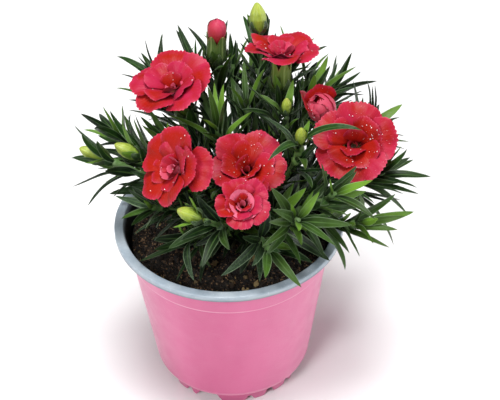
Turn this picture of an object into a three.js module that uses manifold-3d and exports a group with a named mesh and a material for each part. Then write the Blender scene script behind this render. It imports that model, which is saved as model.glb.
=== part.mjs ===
// A double-flowered pot dianthus: a two-tone plastic pot, its soil, leafy stems and red blooms.
// Millimetres, +Z up. The origin is on the surface that the pot stands on, under the pot's centre.
import * as THREE from "three";
import { mergeVertices } from "three/addons/utils/BufferGeometryUtils.js";
import Module from "manifold-3d";

const wasm = await Module();
wasm.setup();

// Driving dimensions of the pot.
const RIM_RADIUS = 60; // outside of the rolled lip
const POT_HEIGHT = 98;
const LIP_DROP = 3.3;
const LIP_WIDTH = 4.85;
const WALL_THICKNESS = 1.0;
const WALL_TOP_RADIUS = 55.4; // outside of the wall just under the rim
const WALL_FOOT_RADIUS = 42.2; // outside of the wall above the rounded base edge
const WALL_FOOT_HEIGHT = 11;
const STEP = { below: 18, inset: 0.7 }; // the stacking line round the wall, below the rim
const FOOT = { outer: 37.4, inner: 34.4, height: 6, notch: 5.2 };
const CENTRE_FOOT_RADIUS = 11;
const DRAIN = { count: 5, radius: 3.2, ring: 23, sides: 6 };
const POT_SIDES = 40;
const FOOT_PATTERN = [0, 0, 0, 0, 0, 0, 0, 1, 1, 0]; // a gap in each quarter; 1 where the ring is notched

// Driving dimensions of the soil.
const SOIL_BELOW_RIM = 10;
const FIT_GAP = 0.35; // clearance where one solid sits in another
const SOIL_RINGS = 3;
const SOIL_SIDES = 20;
const HOLE = { radius: 2.4, depth: 9, sides: 4 };

// Driving dimensions of the plant.
const CROWN = { x: 7, y: 3, share: 0.25 }; // stems root at this share of their tips' spread
const STEM = { radius: 1.3, tipRadius: 1.05, sides: 4, spans: 4, rootDepth: 8 };
const LEAF = { length: 34, width: 6.4, thickness: 0.95, fold: 0.3, rootWidth: 0.3, rootOffset: 0.6 };
const CALYX = { length: 15, radius: 5.1, wall: 1.0, cup: 4, tooth: 2.6, flare: 1.12, sides: 10 };
const GREEN_BUD = { length: 15, radius: 3.7, sides: 7 }; // times the size of each bud
const RED_BUD = { length: 12.5, radius: 5.1 };
const PETAL_THICKNESS = 0.7;
const CORE = { radius: 3.9, height: 7, sides: 8 };
const CELL = 1.6; // different stems stay at least one such cell apart

// Each stem ends in a bloom, a bud or a leafy tip. Its place is in plan and over the pot's rim, at
// the throat where petals leave their calyx or at the stem's own tip. Its lean is the way that the
// tip points. Then its leaf pairs, and the turn of the top pair and of the petals in degrees.
const STEMS = [
  { head: "bloom", at: [-24.5, 22, 65], lean: [-0.25, -0.2, 0.95], pairs: 4, turn: 20, diameter: 41, spin: 10 },
  { head: "bloom", at: [29.5, 30, 75], lean: [0.05, 0.17, 0.97], pairs: 4, turn: 70, diameter: 39, spin: 50 },
  { head: "bloom", at: [64.5, -4, 48], lean: [-0.1, -0.65, 0.75], pairs: 4, turn: 14, diameter: 44, spin: 0 },
  { head: "bloom", at: [-21, -26, 54], lean: [-0.75, -0.4, 0.6], pairs: 4, turn: 40, diameter: 38, spin: 30 },
  { head: "bloom", at: [10, -12, 39], lean: [0.05, -0.42, 0.9], pairs: 3, turn: 0, diameter: 39, spin: 54 },
  { head: "bloom", at: [7, -41, 41], lean: [0.03, -0.5, 0.85], pairs: 4, turn: 80, diameter: 28, spin: 44 },
  { head: "openingBud", at: [51, 16, 51], lean: [-0.2, -0.2, 1], pairs: 4, turn: 19, diameter: 18, spin: 0 },
  { head: "redBud", at: [-3, 45, 82], lean: [0.05, 0.1, 1], pairs: 5, turn: 50, spin: 0 },
  { head: "greenBud", at: [19, 51, 81], lean: [-0.05, 0.15, 1], pairs: 6, turn: 0, size: 1.2 },
  { head: "greenBud", at: [-44, 0, 43], lean: [-0.8, 0, 0.6], pairs: 4, turn: 60, size: 1 },
  { head: "greenBud", at: [-60, -7, 48], lean: [-0.85, 0, 0.5], pairs: 4, turn: 20, size: 1 },
  { head: "greenBud", at: [-13, -47, 40], lean: [-0.75, -0.2, 0.6], pairs: 4, turn: 45, size: 1 },
  { head: "greenBud", at: [31, 11, 59], lean: [0, -0.1, 1], pairs: 4, turn: 30, size: 0.7 },
  { head: "greenBud", at: [37, -10, 56], lean: [0, -0.25, 0.95], pairs: 5, turn: 0, size: 0.8 },
  { head: "leafyTip", at: [45, 32, 54], lean: [0.2, 0.1, 0.95], pairs: 5, turn: 75 },
  { head: "leafyTip", at: [52, -38, 46], lean: [0.35, -0.45, 0.8], pairs: 5, turn: 25 },
  { head: "leafyTip", at: [34, -45, 36], lean: [0.2, -0.6, 0.75], pairs: 5, turn: 65 },
  { head: "leafyTip", at: [-39, -26, 32], lean: [-0.6, -0.5, 0.6], pairs: 4, turn: 30 },
  { head: "leafyTip", at: [79, -10, 36], lean: [0.8, -0.1, 0.5], pairs: 4, turn: 4 },
  { head: "leafyTip", at: [76, 20, 43], lean: [0.6, 0.05, 0.7], pairs: 5, turn: 40 },
  { head: "leafyTip", at: [-35, 40, 66], lean: [-0.4, 0.3, 0.85], pairs: 5, turn: 14 },
  { head: "leafyTip", at: [-4, 5, 56], lean: [-0.1, -0.1, 1], pairs: 5, turn: 60 },
  { head: "leafyTip", at: [19, -50, 22], lean: [0.1, -0.9, 0.5], pairs: 5, turn: 85 },
  { head: "leafyTip", at: [-56, 28, 36], lean: [-0.7, 0.3, 0.6], pairs: 4, turn: 5 },
  { head: "greenBud", at: [-24, 66, 42], lean: [-0.3, 0.7, 0.6], pairs: 5, turn: 35, size: 1 },
  { head: "leafyTip", at: [16, 76, 38], lean: [0.1, 0.8, 0.55], pairs: 4, turn: 62 },
  { head: "leafyTip", at: [58, 60, 38], lean: [0.6, 0.6, 0.5], pairs: 4, turn: 80 },
  { head: "leafyTip", at: [-22, -29, 12], lean: [-0.45, -0.6, 0.6], pairs: 3, turn: 20 },
  { head: "leafyTip", at: [26, -27, 26], lean: [0.3, -0.5, 0.8], pairs: 4, turn: 50 },
  { head: "leafyTip", at: [49, -10, 30], lean: [0.5, -0.3, 0.8], pairs: 4, turn: 15 },
  { head: "leafyTip", at: [-26, 6, 40], lean: [-0.3, -0.2, 0.9], pairs: 4, turn: 70 },
  { head: "leafyTip", at: [11, 22, 58], lean: [0, 0.1, 1], pairs: 4, turn: 25 },
  { head: "leafyTip", at: [-14, 40, 70], lean: [-0.15, 0.15, 1], pairs: 5, turn: 45 },
  { head: "leafyTip", at: [35, 50, 66], lean: [0.25, 0.25, 0.9], pairs: 5, turn: 15 },
  { head: "leafyTip", at: [67, -36, 25], lean: [0.75, -0.35, 0.45], pairs: 3, turn: 30 },
  { head: "leafyTip", at: [5, 60, 57], lean: [0, 0.3, 1], pairs: 4, turn: 10 },
  { head: "leafyTip", at: [25, 64, 52], lean: [0.05, 0.35, 1], pairs: 4, turn: 55 },
  { head: "leafyTip", at: [45, 56, 52], lean: [0.2, 0.3, 1], pairs: 4, turn: 30 },
];

// Leaves whose tips stand out. A leaf grows at a share of the numbered stem and leaves it at the
// start angle in degrees; its tip is in plan and over the pot's rim.
const PLACED_LEAVES = [
  { stem: 11, place: 0.95, tip: [-70, -16, 72], start: 12, width: 5 },
  { stem: 11, place: 0.88, tip: [-78, -14, 55], start: 10, width: 5.4 },
  { stem: 24, place: 0.9, tip: [-66, 6, 58], start: 30, width: 5.4 },
  { stem: 24, place: 0.7, tip: [-59, 22, 57], start: 14, width: 5.2 },
  { stem: 10, place: 0.8, tip: [-49, 10, 62], start: 12, width: 5 },
  { stem: 21, place: 0.8, tip: [-53, 36, 70], start: 12, width: 6 },
  { stem: 21, place: 0.7, tip: [-49, 20, 65], start: 30, width: 5.4 },
  { stem: 21, place: 0.75, tip: [-44, 46, 74], start: 6, width: 5 },
  { stem: 21, place: 0.9, tip: [-31, 54, 81], start: 12, width: 5 },
  { stem: 33, place: 0.9, tip: [-24, 60, 80], start: 14, width: 5 },
  { stem: 8, place: 0.9, tip: [-18, 60, 82], start: 12, width: 5 },
  { stem: 8, place: 0.88, tip: [3, 62, 84], start: 10, width: 5 },
  { stem: 9, place: 0.8, tip: [25, 62, 84], start: 8, width: 5 },
  { stem: 20, place: 0.8, tip: [68, 46, 54], start: 36, width: 6 },
  { stem: 20, place: 0.9, tip: [77, 25, 66], start: 8, width: 5 },
  { stem: 35, place: 0.9, tip: [87, -38, 30], start: 8, width: 5 },
  { stem: 35, place: 0.8, tip: [83, -42, 25], start: 12, width: 5.4 },
  { stem: 35, place: 0.7, tip: [79, -46, 17], start: 16, width: 5.4 },
  { stem: 27, place: 0.9, tip: [82, 56, 46], start: 20, width: 6 },
  { stem: 20, place: 0.8, tip: [92, 10, 35], start: 22, width: 6 },
  { stem: 19, place: 0.8, tip: [94, 4, 34], start: 14, width: 5.6 },
  { stem: 19, place: 0.9, tip: [103, -10, 32], start: 14, width: 6 },
  { stem: 19, place: 0.75, tip: [97, -14, 24], start: 14, width: 5.6 },
  { stem: 19, place: 0.6, tip: [87, -22, 27], start: 12, width: 6 },
  { stem: 19, place: 0.8, tip: [92, -14, 10], start: 36, width: 5.6 },
  { stem: 19, place: 0.7, tip: [83, -30, 4], start: 36, width: 5.6 },
  { stem: 16, place: 0.6, tip: [59, -46, 14], start: 30, width: 6 },
  { stem: 18, place: 0.7, tip: [-35, -44, 33], start: 16, width: 6 },
  { stem: 18, place: 0.5, tip: [-37, -40, 21], start: 16, width: 6 },
  { stem: 28, place: 0.7, tip: [-38, -36, 12], start: 8, width: 5.4 },
  { stem: 12, place: 0.8, tip: [-30, -46, 21], start: 44, width: 6 },
  { stem: 28, place: 0.9, tip: [-18, -52, 5], start: 24, width: 5.4 },
  { stem: 23, place: 0.6, tip: [-5, -56, 11], start: 28, width: 5.6 },
  { stem: 12, place: 0.6, tip: [-9, -54, 21], start: 24, width: 4.6 },
  { stem: 23, place: 0.7, tip: [10, -62, 22], start: 10, width: 6 },
  { stem: 23, place: 0.4, tip: [14, -56, 6], start: 14, width: 5.4 },
  { stem: 17, place: 0.7, tip: [17, -62, 29], start: 26, width: 6 },
  { stem: 17, place: 0.55, tip: [34, -60, 20], start: 22, width: 5.4 },
  { stem: 16, place: 0.6, tip: [45, -44, 45], start: 8, width: 5.6 },
  { stem: 30, place: 0.9, tip: [72, -34, 35], start: 14, width: 6 },
  { stem: 16, place: 0.8, tip: [63, -28, 55], start: 14, width: 6 },
  { stem: 17, place: 0.7, tip: [50, -46, 39], start: 10, width: 6 },
  { stem: 14, place: 0.92, tip: [20, -31, 62], start: 8, width: 5.2 },
  { stem: 14, place: 0.96, tip: [66, -21, 71], start: 6, width: 5.6 },
  { stem: 14, place: 0.7, tip: [41, -36, 48], start: 34, width: 6.4 },
];

// The turns and bends in degrees, and the lengths, that a leaf is tried with until one has room.
const LEAF_TRIES = [
  { turn: 0, bend: 0, length: 1 },
  { turn: 16, bend: 0, length: 1 },
  { turn: -16, bend: -14, length: 1 },
  { turn: 30, bend: 10, length: 1 },
  { turn: -30, bend: -22, length: 0.9 },
  { turn: 0, bend: 26, length: 0.9 },
  { turn: 44, bend: 0, length: 0.9 },
  { turn: -44, bend: -30, length: 0.8 },
  { turn: 12, bend: 34, length: 0.8 },
  { turn: -12, bend: -36, length: 0.8 },
  { turn: 56, bend: 16, length: 0.7 },
  { turn: -56, bend: -14, length: 0.7 },
];

// How each whorl of petals opens, from the outside in: where its petals stand on the core, their
// length as a share of the longest, the half angle of their fan, and the angles in degrees from the
// bloom's axis at their root and at their margin.
const WHORLS = {
  bloom: [
    { count: 5, root: 2.3, reach: 1, spread: 37, lift: 38, fall: 98, ruffle: 0.9, cup: 0.04, teeth: 7 },
    { count: 4, root: 1.8, reach: 0.74, spread: 37, lift: 28, fall: 78, ruffle: 0.8, cup: 0.06, teeth: 5 },
    { count: 2, root: 1.2, reach: 0.5, spread: 40, lift: 10, fall: 46, ruffle: 0.5, cup: 0.1, teeth: 3 },
  ],
  openingBud: [
    { count: 4, root: 2.4, reach: 1, spread: 38, lift: 34, fall: 14, ruffle: 0.3, cup: 0.5, teeth: 5 },
    { count: 2, root: 1.2, reach: 0.86, spread: 34, lift: 14, fall: 2, ruffle: 0.3, cup: 0.5, teeth: 5 },
  ],
};

const STEM_NAMES = {
  bloom: "bloom_stem",
  openingBud: "opening_bud_stem",
  redBud: "red_bud_stem",
  greenBud: "green_bud_stem",
  leafyTip: "leafy_stem",
};
const PETAL_NAMES = { bloom: "bloom_petals", openingBud: "opening_bud_petals", redBud: "red_bud_petals" };

const STYLES = {
  pot: { color: 0xd9669a, roughness: 0.5, metalness: 0 },
  soil: { color: 0x2b1d14, roughness: 0.95, metalness: 0 },
  foliage: { color: 0x3f6b34, roughness: 0.6, metalness: 0 },
  petals: { color: 0xc8202f, roughness: 0.65, metalness: 0 },
};

const SOIL_TOP = POT_HEIGHT - SOIL_BELOW_RIM;
const MOST_PAIRS = Math.max(...STEMS.map((stem) => stem.pairs));

const degrees = THREE.MathUtils.degToRad;
const smooth = (x) => x * x * (3 - 2 * x);

// A linear congruential generator, so that every draw is the same on every run.
function randomFrom(seed) {
  let state = Math.imul(seed + 1, 2654435761) >>> 0;
  return () => {
    state = (Math.imul(state, 1664525) + 1013904223) >>> 0;
    return state / 4294967296;
  };
}

// ---- solids ----

function solidOf(geometry) {
  geometry.deleteAttribute("normal");
  geometry.deleteAttribute("uv");
  const merged = mergeVertices(geometry, 1e-4);
  const corners = merged.index.array;
  const triVerts = [];
  for (let i = 0; i < corners.length; i += 3) {
    const [a, b, c] = corners.slice(i, i + 3);
    if (a !== b && b !== c && c !== a) triVerts.push(a, b, c); // a face pinched to a line is dropped
  }
  const vertProperties = new Float32Array(merged.attributes.position.array);
  const mesh = new wasm.Mesh({ numProp: 3, vertProperties, triVerts: new Uint32Array(triVerts) });
  return new wasm.Manifold(mesh);
}

function geometryOf(solid) {
  const mesh = solid.getMesh();
  const geometry = new THREE.BufferGeometry();
  geometry.setAttribute("position", new THREE.BufferAttribute(mesh.vertProperties, 3));
  geometry.setIndex(new THREE.BufferAttribute(mesh.triVerts, 1));
  return geometry;
}

const fuse = (solids) => solids.reduce((whole, solid) => whole.add(solid));

// Moves every vertex of a geometry to the place that is worked out from its old one.
function reshape(geometry, place) {
  const position = geometry.attributes.position;
  for (let i = 0; i < position.count; i++) {
    const moved = place(position.getX(i), position.getY(i), position.getZ(i));
    position.setXYZ(i, moved.x, moved.y, moved.z);
  }
  return geometry;
}

// Three directions at right angles: up along the given one, and side turned about it.
function frameAlong(direction, turn = 0) {
  const up = direction.clone().normalize();
  const side = new THREE.Vector3(0, 1, 0).cross(up).normalize();
  side.applyAxisAngle(up, degrees(turn));
  return { side, front: up.clone().cross(side), up };
}

const inFrame = (frame, origin, x, y, z) =>
  origin
    .clone()
    .addScaledVector(frame.side, x)
    .addScaledVector(frame.front, y)
    .addScaledVector(frame.up, z);

// A closed lathe about +Z, from a profile of [radius, height] that starts and ends on the axis.
function turned(profile, sides) {
  const points = profile.map(([radius, height]) => new THREE.Vector2(radius, height));
  return new THREE.LatheGeometry(points, sides).rotateX(Math.PI / 2);
}

// Which of a lathe's sectors a vertex is in.
const sectorOf = (x, y, sides) => Math.round((Math.atan2(y, x) / (2 * Math.PI) + 1) * sides) % sides;

// ---- pot and soil ----

// Outside of the pot's wall at a height; above the stacking line it stands out by the line's inset.
function wallRadius(z) {
  const share = (z - WALL_FOOT_HEIGHT) / (POT_HEIGHT - WALL_FOOT_HEIGHT);
  const inset = z < POT_HEIGHT - STEP.below + 0.1 ? STEP.inset * Math.max(0, share) : 0;
  return WALL_FOOT_RADIUS + (WALL_TOP_RADIUS - WALL_FOOT_RADIUS) * share - inset;
}

function makePot() {
  const top = POT_HEIGHT;
  const step = top - STEP.below;
  const profile = [
    [0, 0],
    [CENTRE_FOOT_RADIUS, 0],
    [CENTRE_FOOT_RADIUS + 1.6, FOOT.height],
    [FOOT.inner - 1, FOOT.height],
    [FOOT.inner, 0],
    [FOOT.outer, 0],
    [FOOT.outer + 0.3, FOOT.height],
    [FOOT.outer + 1.3, FOOT.height + 0.3],
    [WALL_FOOT_RADIUS - 1, FOOT.height + 2.6],
    [WALL_FOOT_RADIUS, WALL_FOOT_HEIGHT],
    [wallRadius(step), step],
    [wallRadius(step + 0.8), step + 0.8],
    [WALL_TOP_RADIUS, top - LIP_DROP],
    [RIM_RADIUS, top - LIP_DROP],
    [RIM_RADIUS, top - 0.9],
    [RIM_RADIUS - 0.9, top],
    [RIM_RADIUS - LIP_WIDTH, top],
    [wallRadius(step) - WALL_THICKNESS, step],
    [WALL_FOOT_RADIUS - WALL_THICKNESS, WALL_FOOT_HEIGHT],
    [FOOT.outer + 0.5, FOOT.height + WALL_THICKNESS],
    [0, FOOT.height + WALL_THICKNESS],
  ];
  const geometry = reshape(turned(profile, POT_SIDES), (x, y, z) => {
    const onFootRing = Math.abs(z) < 0.01 && Math.hypot(x, y) > FOOT.inner - 0.1;
    const notched = onFootRing && FOOT_PATTERN[sectorOf(x, y, POT_SIDES) % FOOT_PATTERN.length];
    return new THREE.Vector3(x, y, notched ? FOOT.notch : z);
  });
  let pot = solidOf(geometry);
  for (let i = 0; i < DRAIN.count; i++) {
    const drain = new THREE.CylinderGeometry(DRAIN.radius, DRAIN.radius, 4, DRAIN.sides)
      .rotateX(Math.PI / 2)
      .translate(DRAIN.ring, 0, FOOT.height)
      .rotateZ(((i + 0.5) * 2 * Math.PI) / DRAIN.count);
    pot = pot.subtract(solidOf(drain));
  }
  return pot;
}

// Height of the soil's crumbs over its mean level, from a few crossed waves.
const crumbs = (x, y) =>
  0.9 * Math.sin(0.31 * x + 1.3) * Math.cos(0.27 * y) + 0.6 * Math.sin(0.83 * x - 0.71 * y);

function makeSoil(stems) {
  const edge = wallRadius(SOIL_TOP - 2) - STEP.inset - WALL_THICKNESS - FIT_GAP - 0.1;
  const profile = [
    [0, FOOT.height + WALL_THICKNESS + FIT_GAP],
    [FOOT.outer, FOOT.height + WALL_THICKNESS + FIT_GAP],
    [WALL_FOOT_RADIUS - WALL_THICKNESS - FIT_GAP - 0.1, WALL_FOOT_HEIGHT + 0.2],
    [edge, SOIL_TOP - 2],
  ];
  for (let i = SOIL_RINGS; i >= 0; i--) {
    profile.push([((edge - 0.3) * i) / SOIL_RINGS, SOIL_TOP]);
  }
  const geometry = reshape(turned(profile, SOIL_SIDES), (x, y, z) => {
    const spread = Math.hypot(x, y) / edge;
    const lift = Math.abs(z - SOIL_TOP) < 0.01 ? crumbs(x, y) * Math.min(1, 2 - 2 * spread) : 0;
    return new THREE.Vector3(x, y, z + lift);
  });
  let soil = solidOf(geometry);
  for (const { root } of stems) {
    const hole = new THREE.CylinderGeometry(HOLE.radius, HOLE.radius, 2 * HOLE.depth, HOLE.sides)
      .rotateX(Math.PI / 2)
      .translate(root.x, root.y, SOIL_TOP);
    soil = soil.subtract(solidOf(hole));
  }
  return soil;
}

// ---- stems and leaves ----

// A stem rises straight from the soil, then bends on a cubic curve to arrive along its tip's axis.
function layStem(spec, index) {
  const axis = new THREE.Vector3(...spec.lean).normalize();
  const throat = new THREE.Vector3(spec.at[0], spec.at[1], POT_HEIGHT + spec.at[2]);
  const tip = throat.clone().addScaledVector(axis, spec.head in PETAL_NAMES ? -CALYX.length : 0);
  const root = new THREE.Vector3(
    CROWN.x + (tip.x - CROWN.x) * CROWN.share,
    CROWN.y + (tip.y - CROWN.y) * CROWN.share,
    SOIL_TOP,
  );
  const span = tip.distanceTo(root);
  const curve = new THREE.CubicBezierCurve3(
    root,
    root.clone().add(new THREE.Vector3(0, 0, span * 0.3)),
    tip.clone().addScaledVector(axis, -span * 0.35),
    tip,
  );
  return { ...spec, index, axis, throat, tip, root, curve };
}

// A point on the stem as it is built, in straight spans between points of its curve.
function pointOnStem(stem, share) {
  const span = Math.min(STEM.spans - 1, Math.floor(share * STEM.spans));
  const from = stem.curve.getPoint(span / STEM.spans);
  return from.lerp(stem.curve.getPoint((span + 1) / STEM.spans), share * STEM.spans - span);
}

function makeStem(stem) {
  const rows = STEM.spans + 1; // the lowest span is the straight one in the soil
  const geometry = reshape(new THREE.CylinderGeometry(1, 1, 1, STEM.sides, rows), (x, y, z) => {
    const row = Math.round((y + 0.5) * rows);
    const share = Math.max(0, (row - 1) / STEM.spans);
    const radius = STEM.radius + (STEM.tipRadius - STEM.radius) * share;
    const centre = stem.curve.getPoint(share);
    if (row === 0) centre.z -= STEM.rootDepth;
    return inFrame(frameAlong(stem.curve.getTangent(share)), centre, z * radius, x * radius, 0);
  });
  return solidOf(geometry);
}

// One leaf of a pair. Its midrib is an arc that leaves the stem at the angle start from the stem's
// own direction and ends at the angle end; the blade rolls about it by roll on its way to the tip.
function layLeaf(stem, pair, side, attempt) {
  const draw = randomFrom(stem.index * 1009 + pair * 31 + side * 7);
  const depth = pair / (stem.pairs - 1); // 0 at the top pair, 1 at the lowest
  const young = smooth(Math.min(1, (pair + 1.1) / 3)); // the top pairs are short and stand close
  const place = 0.96 - 0.7 * depth ** 1.15 + (draw() - 0.5) * 0.02;
  const length = LEAF.length * (0.84 + 0.32 * draw()) * (0.5 + 0.5 * young) * attempt.length;
  const width = LEAF.width * (0.85 + 0.3 * draw()) * (0.7 + 0.3 * young);
  const turn = stem.turn + 90 * pair + 180 * side + (draw() - 0.5) * 24 + attempt.turn;
  const start = (14 + 20 * young) * (0.8 + 0.4 * draw());
  const droop = 42 * depth * stem.axis.z ** 2; // less on a stem that leans out, so its leaves don't hang
  const end = 54 + droop + 44 * (draw() - 0.5) - 30 * (1 - young) + attempt.bend;
  const tangent = stem.curve.getTangent(place);
  return {
    root: pointOnStem(stem, place),
    frame: frameAlong(tangent, turn),
    length,
    width,
    start: degrees(start),
    end: degrees(Math.max(start + 12, end)),
    roll: degrees((draw() - 0.5) * 50),
  };
}

// A leaf whose midrib is an arc that ends on a given tip, in the plane of that tip and the stem.
function aimLeaf(stem, { place, tip, start, width }) {
  const root = pointOnStem(stem, place);
  const up = stem.curve.getTangent(place);
  const chord = new THREE.Vector3(tip[0], tip[1], POT_HEIGHT + tip[2]).sub(root);
  const side = chord.clone().addScaledVector(up, -chord.dot(up)).normalize();
  chord.addScaledVector(side, -LEAF.rootOffset);
  const middle = Math.atan2(chord.dot(side), chord.dot(up)); // the chord's angle from the stem
  const half = Math.max(degrees(6), middle - degrees(start));
  return {
    root,
    frame: { side, front: up.clone().cross(side), up },
    length: (chord.length() * half) / Math.sin(half),
    width,
    start: middle - half,
    end: middle + half,
    roll: 0,
  };
}

// The half width of a leaf at share s of its length, as a share of its widest.
function leafOutline(s) {
  const rise = LEAF.rootWidth + (1 - LEAF.rootWidth) * smooth(Math.min(1, s / 0.42));
  return rise * (1 - s ** 2.6) ** 0.8;
}

// The point of a leaf at share s of its length and v of its half width, with a rise over its face.
function leafPoint(leaf, s, v, rise = 0) {
  const { side, front, up } = leaf.frame;
  const bend = leaf.end - leaf.start;
  const radius = leaf.length / bend;
  const angle = leaf.start + bend * s;
  const normal = up.clone().multiplyScalar(Math.sin(angle)).addScaledVector(side, -Math.cos(angle));
  const half = (leaf.width / 2) * leafOutline(s);
  const lift = LEAF.fold * half * Math.abs(v) + rise;
  const across = half * v * Math.cos(leaf.roll * s) - lift * Math.sin(leaf.roll * s);
  const over = half * v * Math.sin(leaf.roll * s) + lift * Math.cos(leaf.roll * s);
  const out = LEAF.rootOffset + radius * (Math.cos(leaf.start) - Math.cos(angle));
  return leaf.root
    .clone()
    .addScaledVector(up, radius * (Math.sin(angle) - Math.sin(leaf.start)))
    .addScaledVector(side, out)
    .addScaledVector(front, across)
    .addScaledVector(normal, over);
}

// A leaf is a four-sided spindle pressed to a keeled blade: two edges, a channel above, a keel below.
function makeLeaf(leaf) {
  const rows = leaf.length > 34 ? 4 : 3;
  const geometry = reshape(new THREE.SphereGeometry(1, 4, rows), (x, y, z) => {
    const s = 1 - Math.acos(y) / Math.PI;
    const girth = Math.hypot(x, z);
    if (girth < 0.01) return leafPoint(leaf, s, 0);
    const v = -Math.round(x / girth);
    const keel = Math.round(z / girth) < 0 ? LEAF.thickness * (1 - 0.3 * s) : 0;
    return leafPoint(leaf, s, v, -keel);
  });
  return solidOf(geometry);
}

// ---- heads ----

// A shape about +Z is stood on a stem's throat, along its axis.
function onThroat(stem, geometry) {
  const frame = frameAlong(stem.axis, stem.spin);
  return solidOf(reshape(geometry, (x, y, z) => inFrame(frame, stem.throat, x, y, z)));
}

// A sepal tube with five teeth, open at the top for the petals' claws.
function makeCalyx(stem) {
  const { length, radius, wall, cup, tooth, flare, sides } = CALYX;
  const profile = [
    [0, -length - 1],
    [STEM.tipRadius + 0.2, -length - 1],
    [radius * 0.62, -length * 0.9],
    [radius * 1.02, -length * 0.55],
    [radius * 0.96, 0],
    [radius - wall, 0],
    [radius - wall - 0.7, -cup],
    [0, -cup],
  ];
  const geometry = reshape(turned(profile, sides), (x, y, z) => {
    const pointed = z > -0.5 && sectorOf(x, y, sides) % 2;
    return pointed ? new THREE.Vector3(x * flare, y * flare, z + tooth) : new THREE.Vector3(x, y, z);
  });
  return onThroat(stem, geometry);
}

function makeGreenBud(stem) {
  const [length, radius] = [GREEN_BUD.length * stem.size, GREEN_BUD.radius * stem.size];
  const profile = [
    [0, -1],
    [STEM.tipRadius + 0.2, -1],
    [radius * 0.9, length * 0.24],
    [radius, length * 0.52],
    [radius * 0.55, length * 0.84],
    [0, length],
  ];
  return onThroat(stem, turned(profile, GREEN_BUD.sides));
}

// A petal is a narrow claw that widens to a fan, bent outwards on an arc, cupped across and ruffled
// towards its toothed margin.
function layPetal(stem, whorl, ring, index) {
  const draw = randomFrom(9000 + stem.index * 211 + ring * 17 + index);
  const [lift, fall] = [degrees(whorl.lift), degrees(whorl.fall + (draw() - 0.5) * 12)];
  const outer = WHORLS[stem.head][0];
  const bend = degrees(outer.fall - outer.lift);
  const reachOfArc = (Math.cos(degrees(outer.lift)) - Math.cos(degrees(outer.fall))) / bend;
  const length = (stem.diameter / 2 - outer.root) / reachOfArc;
  const turn = stem.spin + ring * 36 + (360 / whorl.count) * index + (draw() - 0.5) * 4;
  return {
    origin: stem.throat.clone().addScaledVector(stem.axis, CORE.height * 0.45),
    root: whorl.root,
    frame: frameAlong(stem.axis, turn),
    length: length * whorl.reach * (0.93 + 0.14 * draw()),
    spread: degrees(whorl.spread) * (0.94 + 0.12 * draw()),
    lift,
    fall,
    ruffle: whorl.ruffle * (0.6 + 0.8 * draw()),
    waves: 4.4 + 2.4 * draw(),
    phase: draw() * 2 * Math.PI,
    cup: whorl.cup,
    lean: 0.15 + (draw() - 0.5) * 0.05, // each petal lies under its neighbour on one side only
    teeth: whorl.teeth,
  };
}

// The point of a petal at share u of its length and v of its half width, with a rise over its face.
function petalPoint(petal, u, v, rise = 0) {
  const claw = 0.42 + 0.58 * smooth(Math.min(1, u / 0.5));
  const fan = petal.spread * v * claw;
  const ray = petal.length * u * (1 - 0.17 * v ** 4);
  const along = ray * Math.cos(fan);
  const across = ray * Math.sin(fan);
  const bend = petal.fall - petal.lift;
  const radius = petal.length / bend;
  const angle = petal.lift + (bend * along) / petal.length;
  const cupped = (petal.cup * across * across) / petal.length;
  const ruffled = petal.ruffle * u * u * Math.sin(petal.waves * fan + petal.phase);
  const lift = cupped + ruffled + petal.lean * across + rise;
  const out = radius * (Math.cos(petal.lift) - Math.cos(angle)) - lift * Math.cos(angle);
  const up = radius * (Math.sin(angle) - Math.sin(petal.lift)) + lift * Math.sin(angle);
  return inFrame(petal.frame, petal.origin, petal.root + out, across, up);
}

// The triangles between rows of points that may grow in number from one row to the next.
function zipRows(rows) {
  const faces = [];
  let start = 0;
  for (let row = 1; row < rows.length; row++) {
    const [lowCount, highCount] = [rows[row - 1], rows[row]];
    let [low, high] = [0, 0];
    while (low < lowCount - 1 || high < highCount - 1) {
      const [a, b] = [start + low, start + lowCount + high];
      const highIsNext = (high + 1) / (highCount - 1) <= (low + 1) / (lowCount - 1) + 1e-9;
      if (high < highCount - 1 && highIsNext) {
        faces.push([a, b + 1, b]);
        high++;
      } else {
        faces.push([a, a + 1, b]);
        low++;
      }
    }
    start += lowCount;
  }
  return faces;
}

// A thin closed blade: two faces split alike, joined all round by a narrow edge.
function makePetal(petal) {
  const corners = [{ u: 0, v: 0, rise: 0 }];
  for (let i = 0; i < 3; i++) corners.push({ u: 0.6, v: i - 1, rise: 0.5 });
  for (let i = 0; i < petal.teeth; i++) {
    corners.push({ u: i % 2 ? 1.035 : 0.975, v: (2 * i) / (petal.teeth - 1) - 1, rise: 0.5 });
  }
  const positions = [];
  for (const side of [-1, 1]) {
    for (const { u, v, rise } of corners) {
      positions.push(...petalPoint(petal, u, v, side * rise * PETAL_THICKNESS).toArray());
    }
  }
  const count = corners.length;
  const index = [];
  const edges = new Map();
  for (const [a, b, c] of zipRows([1, 3, petal.teeth])) {
    index.push(a, b, c, a + count, c + count, b + count);
    for (const [from, to] of [[a, b], [b, c], [c, a]]) edges.set(from * count + to, [from, to]);
  }
  for (const [from, to] of edges.values()) {
    if (edges.has(to * count + from)) continue;
    index.push(to, from, from + count, to, from + count, to + count);
  }
  const geometry = new THREE.BufferGeometry();
  geometry.setAttribute("position", new THREE.Float32BufferAttribute(positions, 3));
  geometry.setIndex(index);
  return solidOf(geometry);
}

function layPetals(stem) {
  return (WHORLS[stem.head] || []).flatMap((whorl, ring) =>
    Array(whorl.count)
      .fill(whorl)
      .map((petals, i) => layPetal(stem, petals, ring, i)),
  );
}

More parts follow.
